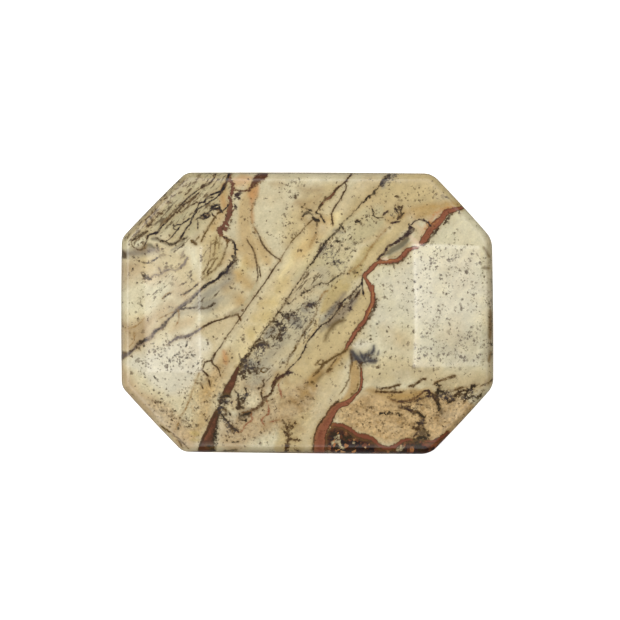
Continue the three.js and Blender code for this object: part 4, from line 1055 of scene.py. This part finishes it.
def makeSpeckGroup(form):
    # Cells of random shape, and in a share of them a speck. Its radius is the cell's own share of
    # the greatest radius, its edge is soft over a share of that, and its shade is the cell's own.
    group, given, results = newGroup("specks", {
        "Place": "Vector", "Cells": "Float", "Radius": "Float", "Share": "Float",
    }, {"Mask": "Float"})
    leastRadius, leastShade = form["leastRadius"], form["leastShade"]
    uneven = waver(group, given["Place"], *form["wobble"])
    cells = addNode(group, "ShaderNodeTexVoronoi", {"Vector": uneven, "Scale": given["Cells"]},
                    voronoi_dimensions="2D")
    chance = addNode(group, "ShaderNodeSeparateColor", {0: cells.outputs["Color"]}).outputs
    radius = maths(group, "MULTIPLY", given["Radius"], given["Cells"])
    size = maths(group, "MULTIPLY_ADD", chance[1], 1 - leastRadius, leastRadius)
    radius = maths(group, "MULTIPLY", size, radius)
    depth = maths(group, "SUBTRACT", radius, cells.outputs["Distance"])
    soft = maths(group, "MULTIPLY", radius, form["softness"])
    speck = maths(group, "DIVIDE", depth, soft, clamp=True)
    shade = maths(group, "MULTIPLY_ADD", chance[2], 1 - leastShade, leastShade)
    present = maths(group, "LESS_THAN", chance[0], given["Share"])
    shown = maths(group, "MULTIPLY", speck, present)
    group.links.new(maths(group, "MULTIPLY", shown, shade), results["Mask"])
    return group


def splitRun(points):
    # A run has to move steadily along the line between its ends: each step's share along it is over
    # the steadiness. A run that turns too far is halved.
    if len(points) < 3:
        return [points]
    steadiness = 0.45
    tiny = 1e-6
    chord = points[-1, :2] - points[0, :2]
    steps = np.diff(points[:, :2], axis=0)
    length = np.linalg.norm(chord)
    progress = steps @ chord / max(length, tiny)
    if length > tiny and np.all(progress > steadiness * np.linalg.norm(steps, axis=1)):
        return [points]
    middle = len(points) // 2
    return splitRun(points[:middle + 1]) + splitRun(points[middle:])


def floatCurve(tree, value, xs, ys, handle):
    node = addNode(tree, "ShaderNodeFloatCurve", {"Value": value})
    curve = node.mapping.curves[0]
    node.mapping.use_clip = False
    node.mapping.extend = "HORIZONTAL"
    while len(curve.points) < len(xs):
        curve.points.new(0, 0)
    for point, x, y in zip(curve.points, xs, ys):
        point.location = (x, y)
        point.handle_type = handle
    node.mapping.update()
    return node.outputs[0]


def runDepth(tree, place, points, margin):
    # How far inside a run the place is. along and across are measured from the run's start, on axes
    # turned to the straight line between its ends. Two curves over along give the middle's across
    # and the half-width, and the depth is the half-width less the distance from the middle. The
    # half-width is divided by the cosine of the run's local slope, and falls away past the ends.
    chord = points[-1, :2] - points[0, :2]
    ahead = chord / np.linalg.norm(chord)
    side = np.array([-ahead[1], ahead[0]])
    fromStart = points[:, :2] - points[0, :2]
    alongs = fromStart @ ahead
    middles = fromStart @ side
    halfWidths = points[:, 2] * np.sqrt(1 + np.gradient(middles, alongs) ** 2)
    capEnds = (alongs[0] - points[0, 2] - margin, alongs[-1] + points[-1, 2] + margin)
    cappedAlongs = np.concatenate([capEnds[:1], alongs, capEnds[1:]])
    cappedWidths = np.concatenate([[-margin], halfWidths, [-margin]])
    off = vectorMaths(tree, "SUBTRACT", place, (*points[0, :2], 0))
    along = vectorMaths(tree, "DOT_PRODUCT", off, (*ahead, 0), output=1)
    across = vectorMaths(tree, "DOT_PRODUCT", off, (*side, 0), output=1)
    if len(points) > 2:
        across = maths(tree, "SUBTRACT", across, floatCurve(tree, along, alongs, middles, "AUTO"))
    away = maths(tree, "ABSOLUTE", across)
    halfWidth = floatCurve(tree, along, cappedAlongs, cappedWidths, "AUTO_CLAMPED")
    return maths(tree, "SUBTRACT", halfWidth, away)


def spotDepth(tree, place, x, y, radius):
    # The radius less the distance from the spot's middle.
    away = vectorMaths(tree, "DISTANCE", place, (x, y, 0), output=1)
    return maths(tree, "SUBTRACT", radius, away)


def makeMarkingGroup(edge, marking):
    # The greatest depth among the marking's runs, given its edge, its cover and its halo.
    unit = drawing["unit"]
    soft = marking["soft"] * unit
    ragged = marking["ragged"] * unit
    rimWidth = marking.get("rimWidth", 0.0) * unit
    reach = marking.get("halo", marking["soft"]) * unit
    group, given, results = newGroup(
        marking["what"],
        {"Place": "Vector", "Noise": "Float", "Fading": "Float"},
        {"Mask": "Float", "Rim": "Float", "Halo": "Float"},
    )
    margin = max((soft + ragged) / 2 + rimWidth, reach)
    depth = None
    for run in marking["runs"]:
        run = run if isinstance(run, list) else [run]
        points = np.array([(*onStone(x, y), halfWidth * unit) for x, y, halfWidth in run])
        if len(points) == 1:
            depths = [spotDepth(group, given["Place"], *points[0].tolist())]
        else:
            depths = [runDepth(group, given["Place"], part, margin) for part in splitRun(points)]
        for each in depths:
            depth = each if depth is None else maths(group, "MAXIMUM", depth, each)
    edges = addNode(group, "ShaderNodeGroup", {
        "Depth": depth,
        "Noise": given["Noise"],
        "Fading": given["Fading"],
        "Raggedness": ragged,
        "Sharpness": 1 / soft,
        "Cover": marking["cover"],
        "Reach": reach,
        "Rim Width": rimWidth,
    }, node_tree=edge)
    for name in ("Mask", "Rim", "Halo"):
        group.links.new(edges.outputs[name], results[name])
    return group


def markingMask(tree, edge, place, edgeNoise, marking):
    group = makeMarkingGroup(edge, marking)
    inputs = {"Place": place, "Noise": edgeNoise, "Fading": 0.0}
    return addNode(tree, "ShaderNodeGroup", inputs, node_tree=group).outputs["Mask"]


def fieldMask(tree, edge, place, edgeNoise, fields):
    # The greatest mask of several fields, each with its own cover.
    total = None
    for field in namedRows(fields, ("cover", "soft", "runs")):
        field["ragged"] = jasperFinish["fieldEdge"]
        mask = markingMask(tree, edge, place, edgeNoise, field)
        total = mask if total is None else maths(tree, "MAXIMUM", total, mask)
    return total


def stonePlace(tree, finish):
    # Object coordinates in millimetres. Below the girdle's top they slide along the dip.
    coordinates = addNode(tree, "ShaderNodeTexCoord", {}).outputs["Object"]
    place = addNode(tree, "ShaderNodeMapping", {"Vector": coordinates, "Scale": (1 / mm,) * 3}).outputs[0]
    height = addNode(tree, "ShaderNodeSeparateXYZ", {0: place}).outputs[2]
    below = maths(tree, "SUBTRACT", stoneShape["girdleTop"], height)
    below = maths(tree, "MAXIMUM", below, 0.0)
    slideX = maths(tree, "MULTIPLY", below, finish["dip"][0])
    slideY = maths(tree, "MULTIPLY", below, finish["dip"][1])
    slide = addNode(tree, "ShaderNodeCombineXYZ", {0: slideX, 1: slideY}).outputs[0]
    return vectorMaths(tree, "ADD", place, slide), height


markingKeys = ("colour", "cover", "soft", "ragged", "runs")


def paintMarkings(tree, edge, place, edgeNoise, markings, colour):
    for marking in namedRows(markings, markingKeys):
        mask = markingMask(tree, edge, place, edgeNoise, marking)
        colour = mixColours(tree, mask, colour, screenToPaint(marking["colour"]))
    return colour


def paintVeins(tree, edge, place, edgeNoise, fading, finish, colour):
    # A brown stain round each vein, then the vein. The nearness is the greatest of the halos.
    reach, stain = finish["halo"]
    nearness = 0.0
    for marking in namedRows(veins, markingKeys):
        group = makeMarkingGroup(edge, {"halo": reach, **marking})
        inputs = {"Place": place, "Noise": edgeNoise, "Fading": fading}
        masks = addNode(tree, "ShaderNodeGroup", inputs, node_tree=group).outputs
        if marking.get("halo", reach) > finish["leastHalo"]:
            halo = maths(tree, "MULTIPLY", masks["Halo"], stain * marking["cover"])
            colour = mixColours(tree, halo, colour, screenToPaint("brownOchre"))
            nearness = maths(tree, "MAXIMUM", masks["Halo"], nearness)
        if "rimWidth" in marking:
            colour = mixColours(tree, masks["Rim"], colour, screenToPaint(marking["rim"]))
        colour = mixColours(tree, masks["Mask"], colour, screenToPaint(marking["colour"]))
    return colour, nearness


def overThreshold(tree, amount, threshold, sharpness):
    # 0 up to the threshold, and over it the rest times the sharpness, up to 1.
    rest = maths(tree, "SUBTRACT", amount, threshold)
    return maths(tree, "MULTIPLY", rest, sharpness, clamp=True)


def paintStains(tree, place, finish, colour):
    # Each stain shows where its noise is over its threshold.
    for number, (name, waves, threshold, cover) in enumerate(finish["stains"]):
        swing = noise(tree, place, waves, detail=5.0, roughness=0.6, offset=(17 * number, 5, 0))
        mask = overThreshold(tree, swing, threshold - 0.5, finish["stainSharpness"])
        colour = mixColours(tree, maths(tree, "MULTIPLY", mask, cover), colour, screenToPaint(name))
    return colour


def clusters(tree, place, waves, crowding, offset):
    # 1 where broad noise is high, and 0 where it is low.
    texture = noise(tree, place, waves, detail=3.0, roughness=0.6, offset=offset)
    return maths(tree, "MULTIPLY_ADD", texture, crowding["contrast"], crowding["middle"], clamp=True)


def paintSpecks(tree, place, field, mossField, dark, finish, colour):
    # Specks gather in clusters, and closer in the moss.
    crowding = finish["crowding"]
    waves = crowding["waves"]
    crowd = clusters(tree, place, waves, crowding, (31, 7, 2))
    crowded = maths(tree, "MULTIPLY", maths(tree, "MAXIMUM", field, crowding["leastField"]), crowd)
    mossCrowd = clusters(tree, place, waves * crowding["finer"], crowding, (5, 37, 2))
    mossy = maths(tree, "MULTIPLY", mossField, mossCrowd)
    specks = makeSpeckGroup(finish["speckForm"])
    for cells, radius, fieldShare, mossShare in finish["speckSizes"]:
        share = maths(tree, "MULTIPLY", mossy, mossShare)
        mask = addNode(tree, "ShaderNodeGroup", {
            "Place": place, "Cells": cells, "Radius": radius,
            "Share": maths(tree, "MULTIPLY_ADD", crowded, fieldShare, share),
        }, node_tree=specks).outputs[0]
        cover = maths(tree, "MULTIPLY", mask, finish["speckCover"])
        colour = mixColours(tree, cover, colour, dark)
    return colour


def turnedPlace(tree, place, turn, along, across):
    # The place in waves, on axes turned to the banding, with other waves along it than across it.
    return addNode(tree, "ShaderNodeMapping", {
        "Vector": place,
        "Rotation": (0, 0, math.radians(turn)),
        "Scale": (1 / along, 1 / across, 1),
    }, vector_type="TEXTURE").outputs[0]


def paintMottling(tree, place, finish, colour):
    # The colour times 1 and the swing of each noise. The streaks' noise is drawn out along the
    # banding.
    streaks = finish["streaks"]
    turned = turnedPlace(tree, place, streaks["turn"], streaks["along"], streaks["across"])
    texture = noise(tree, turned, 1.0, detail=4.0, roughness=0.6, offset=(8, 8, 3))
    tone = maths(tree, "MULTIPLY_ADD", texture, streaks["swing"], 1.0)
    for number, (waves, swing) in enumerate(finish["mottling"]):
        texture = noise(tree, place, waves, detail=4.0, roughness=0.6, offset=(3, 11 * number, 7))
        tone = maths(tree, "MULTIPLY_ADD", texture, swing, tone)
    return brighten(tree, colour, tone)


def paintDashes(tree, place, field, dark, finish, colour):
    # Dashes along the banding, where drawn-out noise passes a threshold that the fields lower.
    dashes = finish["dashes"]
    turned = turnedPlace(tree, place, finish["streaks"]["turn"], dashes["along"], dashes["across"])
    amount = noise(tree, turned, 1.0, detail=3.0, roughness=0.7, offset=(12, 2, 9))
    amount = maths(tree, "MULTIPLY_ADD", field, dashes["field"], amount)
    threshold = dashes["threshold"] + dashes["field"] / 2
    mask = overThreshold(tree, amount, threshold, dashes["sharpness"])
    mask = maths(tree, "MULTIPLY", mask, maths(tree, "GREATER_THAN", field, dashes["leastField"]))
    cover = maths(tree, "MULTIPLY", mask, dashes["cover"])
    return mixColours(tree, cover, colour, dark)


def paintSand(tree, edge, drifting, place, broadNoise, finish, colour):
    # Brown patches and coarse noise in the brightness, over the fields.
    field = fieldMask(tree, edge, drifting, broadNoise, grainFields)
    waves, threshold, sharpness, cover = finish["sandStain"]
    texture = noise(tree, place, waves, detail=4.0, roughness=0.7, offset=(14, 2, 4))
    patch = overThreshold(tree, texture, threshold, sharpness)
    stain = maths(tree, "MULTIPLY", maths(tree, "MULTIPLY", patch, field), cover)
    colour = mixColours(tree, stain, colour, screenToPaint("brownOchre"))
    waves, swing = finish["sand"]
    texture = noise(tree, place, waves, roughness=0.6, offset=(4, 4, 40))
    swung = maths(tree, "MULTIPLY", texture, field)
    return brighten(tree, colour, maths(tree, "MULTIPLY_ADD", swung, swing, 1.0))


def darkTint(tree, place, field, finish):
    # The moss turns from brown to blue from place to place, and the specks outside it are brown.
    waves, contrast, middle = finish["tint"]
    tint = noise(tree, place, waves, offset=(14, 3, 3))
    tint = maths(tree, "MULTIPLY_ADD", tint, contrast, middle, clamp=True)
    blue = maths(tree, "MULTIPLY", tint, field)
    return mixColours(tree, blue, screenToPaint("umber"), screenToPaint("inkBlue"))


def paintMoss(tree, place, field, nearness, dark, finish, colour):
    # Dark moss shows where fine noise and clumps together pass a threshold, which the fields lower.
    moss = finish["moss"]
    fine = noise(tree, place, moss["fine"], roughness=0.6, offset=(9, 1, 5))
    clumps = noise(tree, place, moss["clumps"], detail=3.0, roughness=0.6, offset=(2, 23, 8))
    amount = maths(tree, "MULTIPLY_ADD", clumps, moss["clumping"], fine)
    amount = maths(tree, "MULTIPLY_ADD", field, moss["field"], amount)
    amount = maths(tree, "MULTIPLY_ADD", nearness, moss["veins"], amount)
    mask = overThreshold(tree, amount, moss["threshold"], moss["sharpness"])
    cover = maths(tree, "MULTIPLY", mask, moss["cover"])
    return mixColours(tree, cover, colour, dark)


def paintPocket(tree, edge, wavering, fineNoise, colour):
    # Each grain takes its colour from a ramp by chance.
    mask = markingMask(tree, edge, wavering, fineNoise, pocket)
    grains = addNode(tree, "ShaderNodeTexVoronoi", {"Vector": wavering, "Scale": pocket["grain"]})
    chance = addNode(tree, "ShaderNodeSeparateColor", {0: grains.outputs["Color"]}).outputs[0]
    bands = [(position, screenToPaint(name)) for position, name in pocket["grains"]]
    return mixColours(tree, mask, colour, colourRamp(tree, chance, bands))


def groundMasks(tree, height, finish):
    # The first is 1 on the girdle and the back, which are ground and not polished, and 0 on the
    # shoulder. The second is 1 on the girdle's wall alone, where painted shade darkens the colour.
    below = maths(tree, "SUBTRACT", stoneShape["girdleTop"], height)
    ground = maths(tree, "MULTIPLY", below, finish["groundEdge"], clamp=True)
    aboveBack = maths(tree, "MULTIPLY", height, finish["backEdge"], clamp=True)
    return ground, maths(tree, "MULTIPLY", ground, aboveBack)


def rimShade(tree, place, height, wall, finish):
    # Painted shade: 1 on the dome and the back. It falls with the square root of the shoulder's drop
    # below the dome's curve, and further on the girdle's wall.
    shares = (1 / stoneShape["halfLength"], 1 / stoneShape["halfWidth"], 0)
    share = vectorMaths(tree, "MULTIPLY", place, shares)
    squares = vectorMaths(tree, "DOT_PRODUCT", share, share, output=1)
    dome = maths(tree, "MULTIPLY_ADD", squares, -stoneShape["domeRise"], stoneShape["thickness"])
    reach, strength = finish["rimShade"]
    drop = maths(tree, "DIVIDE", maths(tree, "SUBTRACT", dome, height), reach, clamp=True)
    root = maths(tree, "SQRT", drop)
    aboveBack = maths(tree, "MULTIPLY", height, finish["backEdge"], clamp=True)
    shade = maths(tree, "MULTIPLY_ADD", maths(tree, "MULTIPLY", root, aboveBack), -strength, 1.0)
    return maths(tree, "MULTIPLY_ADD", wall, -finish["wallShade"], shade)


def makeJasper(finish):
    material = bpy.data.materials.new("landscapeJasper")
    material.use_nodes = True
    tree = material.node_tree
    tree.nodes.clear()
    edge = makeEdgeGroup()
    place, height = stonePlace(tree, finish)
    drifting = waver(tree, place, *finish["drift"])
    wavering = waver(tree, place, *finish["wobble"])
    broadNoise = noise(tree, place, finish["cloudWaves"], detail=4.0, roughness=0.6)
    waves, rougher = finish["raggedness"]
    texture = noise(tree, place, waves, detail=4.0, roughness=0.7)
    fineNoise = maths(tree, "MULTIPLY", texture, rougher)

    base = maths(tree, "ADD", noise(tree, drifting, finish["baseWaves"], detail=4.0), 0.5)
    colour = mixColours(tree, base, screenToPaint("buff"), screenToPaint("cream"))
    colour = paintMarkings(tree, edge, drifting, broadNoise, washes, colour)
    colour = paintStains(tree, place, finish, colour)
    colour = paintMarkings(tree, edge, wavering, broadNoise, smudges, colour)
    colour = paintMottling(tree, place, finish, colour)
    colour = paintSand(tree, edge, drifting, place, broadNoise, finish, colour)
    speckField = fieldMask(tree, edge, drifting, broadNoise, speckFields)
    mossField = fieldMask(tree, edge, drifting, broadNoise, mossFields)
    dark = darkTint(tree, place, mossField, finish)
    colour = paintSpecks(tree, place, speckField, mossField, dark, finish, colour)
    dashField = fieldMask(tree, edge, drifting, broadNoise, dashFields)
    colour = paintDashes(tree, place, dashField, dark, finish, colour)
    colour = paintPocket(tree, edge, wavering, fineNoise, colour)
    waves, swing = finish["fading"]
    texture = noise(tree, place, waves, detail=3.0, roughness=0.6, offset=(6, 2, 19))
    fading = maths(tree, "MULTIPLY", texture, swing)
    colour, nearness = paintVeins(tree, edge, wavering, fineNoise, fading, finish, colour)
    colour = paintMoss(tree, place, mossField, nearness, dark, finish, colour)

    ground, wall = groundMasks(tree, height, finish)
    # Painted shade darkens the colour on the shoulder and on the girdle's wall.
    colour = brighten(tree, colour, rimShade(tree, place, height, wall, finish))
    rougher = finish["groundRoughness"] - finish["roughness"]
    duller = finish["groundSpecular"] - finish["specular"]

    shader = addNode(tree, "ShaderNodeBsdfPrincipled", {
        "Base Color": colour,
        "Roughness": maths(tree, "MULTIPLY_ADD", ground, rougher, finish["roughness"]),
        "IOR": maths(tree, "MULTIPLY_ADD", wall, 1.0 - finish["ior"], finish["ior"]),
        "Specular IOR Level": maths(tree, "MULTIPLY_ADD", ground, duller, finish["specular"]),
    })
    addNode(tree, "ShaderNodeOutputMaterial", {"Surface": shader.outputs[0]})
    return material


jasper = makeJasper(jasperFinish)
stone.data.materials.append(jasper)
print("jasper painted:", len(jasper.node_tree.nodes), "nodes")

studio = {
    "floorWidth": 3.0,  # metres
    "floorGap": 0.00002,  # metres under the stone, so that its back doesn't share the paper's plane
    "floorColour": (0.97, 0.97, 0.965, 1.0),
    "floorGlow": 0.6,  # the paper's own light, which keeps it white up to the stone
    "floorRoughness": 0.9,
    "sky": 1.36,  # brightness of the broad soft light
    "skyBands": [(0.3, 0.15), (0.42, 1.2), (0.79, 1.2), (0.855, 0.3)],  # height, and share of it
    "lean": (-0.5, 0.34, 0),  # how much brighter the sky is towards -X and +Y
    "windowHeight": 1.0,  # metres from the stone to the two soft windows
    "windowGap": 0.004,  # metres between the lights, because lights at one height hide each other
    "windows": [  # name, limits across and along as shares of the height, and brightness
        ("rightWindow", (0.278, 0.466), (-0.232, 0.296), 1.1),
        ("rightTopGlow", (0.278, 0.466), (0.2, 0.296), 0.9),
        ("rightHead", (0.278, 0.466), (0.28, 0.296), 1.4),
        ("rightSideGlow", (0.278, 0.33), (-0.232, 0.296), 0.7),
        ("rightInnerGlow", (0.278, 0.3), (-0.232, 0.296), 0.7),
        ("rightRim", (0.278, 0.2845), (-0.232, 0.296), 3.6),
        ("rightSill", (0.278, 0.466), (-0.232, -0.212), 0.8),
        ("leftWindow", (-0.44, -0.283), (-0.262, 0.291), 1.1),
        ("leftOuterGlow", (-0.44, -0.405), (-0.262, 0.291), 0.9),
        ("leftRim", (-0.2885, -0.283), (-0.262, 0.291), 3.2),
        ("leftSill", (-0.44, -0.283), (-0.262, -0.246), 0.7),
    ],
}


def makeFloor(setup):
    # The paper shows from above only, so the stone's back can be looked at from below.
    half, level = setup["floorWidth"] / 2, -setup["floorGap"]
    corners = [(-half, -half, level), (half, -half, level), (half, half, level), (-half, half, level)]
    mesh = bpy.data.meshes.new("paleFloor")
    mesh.from_pydata(corners, [], [(0, 1, 2, 3)])
    floor = bpy.data.objects.new("paleFloor", mesh)
    bpy.context.scene.collection.objects.link(floor)
    material = bpy.data.materials.new("palePaper")
    material.use_nodes = True
    tree = material.node_tree
    shader = tree.nodes["Principled BSDF"]
    shader.inputs["Base Color"].default_value = setup["floorColour"]
    shader.inputs["Roughness"].default_value = setup["floorRoughness"]
    shader.inputs["Specular IOR Level"].default_value = 0.0
    shader.inputs["Emission Color"].default_value = (1, 1, 1, 1)
    shader.inputs["Emission Strength"].default_value = setup["floorGlow"]
    fromBelow = addNode(tree, "ShaderNodeNewGeometry", {}).outputs["Backfacing"]
    clear = addNode(tree, "ShaderNodeBsdfTransparent", {}).outputs[0]
    both = addNode(tree, "ShaderNodeMixShader", {0: fromBelow, 1: shader.outputs[0], 2: clear})
    tree.links.new(both.outputs[0], tree.nodes["Material Output"].inputs["Surface"])
    mesh.materials.append(material)
    floor.visible_glossy = False  # the stone's edge reflects a dark table in the photo


def makeSky(setup):
    # Brightness by height above the horizon: dim overhead, where the camera is, bright half-way
    # down, and dim at the level.
    world = bpy.data.worlds.new("softStudio")
    bpy.context.scene.world = world
    world.use_nodes = True
    tree = world.node_tree
    tree.nodes.clear()
    direction = addNode(tree, "ShaderNodeTexCoord", {}).outputs["Generated"]
    upward = addNode(tree, "ShaderNodeSeparateXYZ", {0: direction}).outputs[2]
    bands = [(level, (share, share, share, 1)) for level, share in setup["skyBands"]]
    glow = colourRamp(tree, upward, bands)
    lean = vectorMaths(tree, "DOT_PRODUCT", direction, setup["lean"], output=1)
    strength = maths(tree, "MULTIPLY_ADD", lean, setup["sky"], setup["sky"])
    light = addNode(tree, "ShaderNodeBackground", {"Color": glow, "Strength": strength}).outputs[0]
    white = (1, 1, 1, 1)
    plain = addNode(tree, "ShaderNodeBackground", {"Color": white, "Strength": 1.0}).outputs[0]
    seen = addNode(tree, "ShaderNodeLightPath", {}).outputs["Is Camera Ray"]
    both = addNode(tree, "ShaderNodeMixShader", {0: seen, 1: light, 2: plain}).outputs[0]
    addNode(tree, "ShaderNodeOutputWorld", {"Surface": both})


def makeWindow(number, name, across, along, strength, setup):
    # A flat soft light over the stone. across and along are its near and far limits in x and y,
    # as shares of its height, so that the dome reflects it as a rectangle. Its energy is its
    # brightness times its area times pi. Each light stands a gap higher than the one before it.
    height = setup["windowHeight"]
    light = bpy.data.lights.new(name, "AREA")
    light.shape = "RECTANGLE"
    light.size = (across[1] - across[0]) * height
    light.size_y = (along[1] - along[0]) * height
    light.energy = strength * light.size * light.size_y * math.pi
    window = bpy.data.objects.new(name, light)
    window.location = (sum(across) / 2 * height, sum(along) / 2 * height, height)
    window.location.z += number * setup["windowGap"]
    bpy.context.scene.collection.objects.link(window)


def makeCamera(setup):
    data = bpy.data.cameras.new("camera")
    data.lens = setup["lens"]
    data.sensor_width = setup["sensor"]
    camera = bpy.data.objects.new("camera", data)
    farOff = setup["frameWidth"] * setup["lens"] / setup["sensor"]
    camera.location = (setup["middle"][0] * mm, setup["middle"][1] * mm,
                       (setup["girdleHeight"] + farOff) * mm)
    bpy.context.scene.collection.objects.link(camera)
    bpy.context.scene.camera = camera


makeFloor(studio)
makeSky(studio)
for number, window in enumerate(studio["windows"]):
    makeWindow(number, *window, studio)
makeCamera(cameraSetup)
bpy.context.scene.view_settings.view_transform = "Standard"
print("studio set")
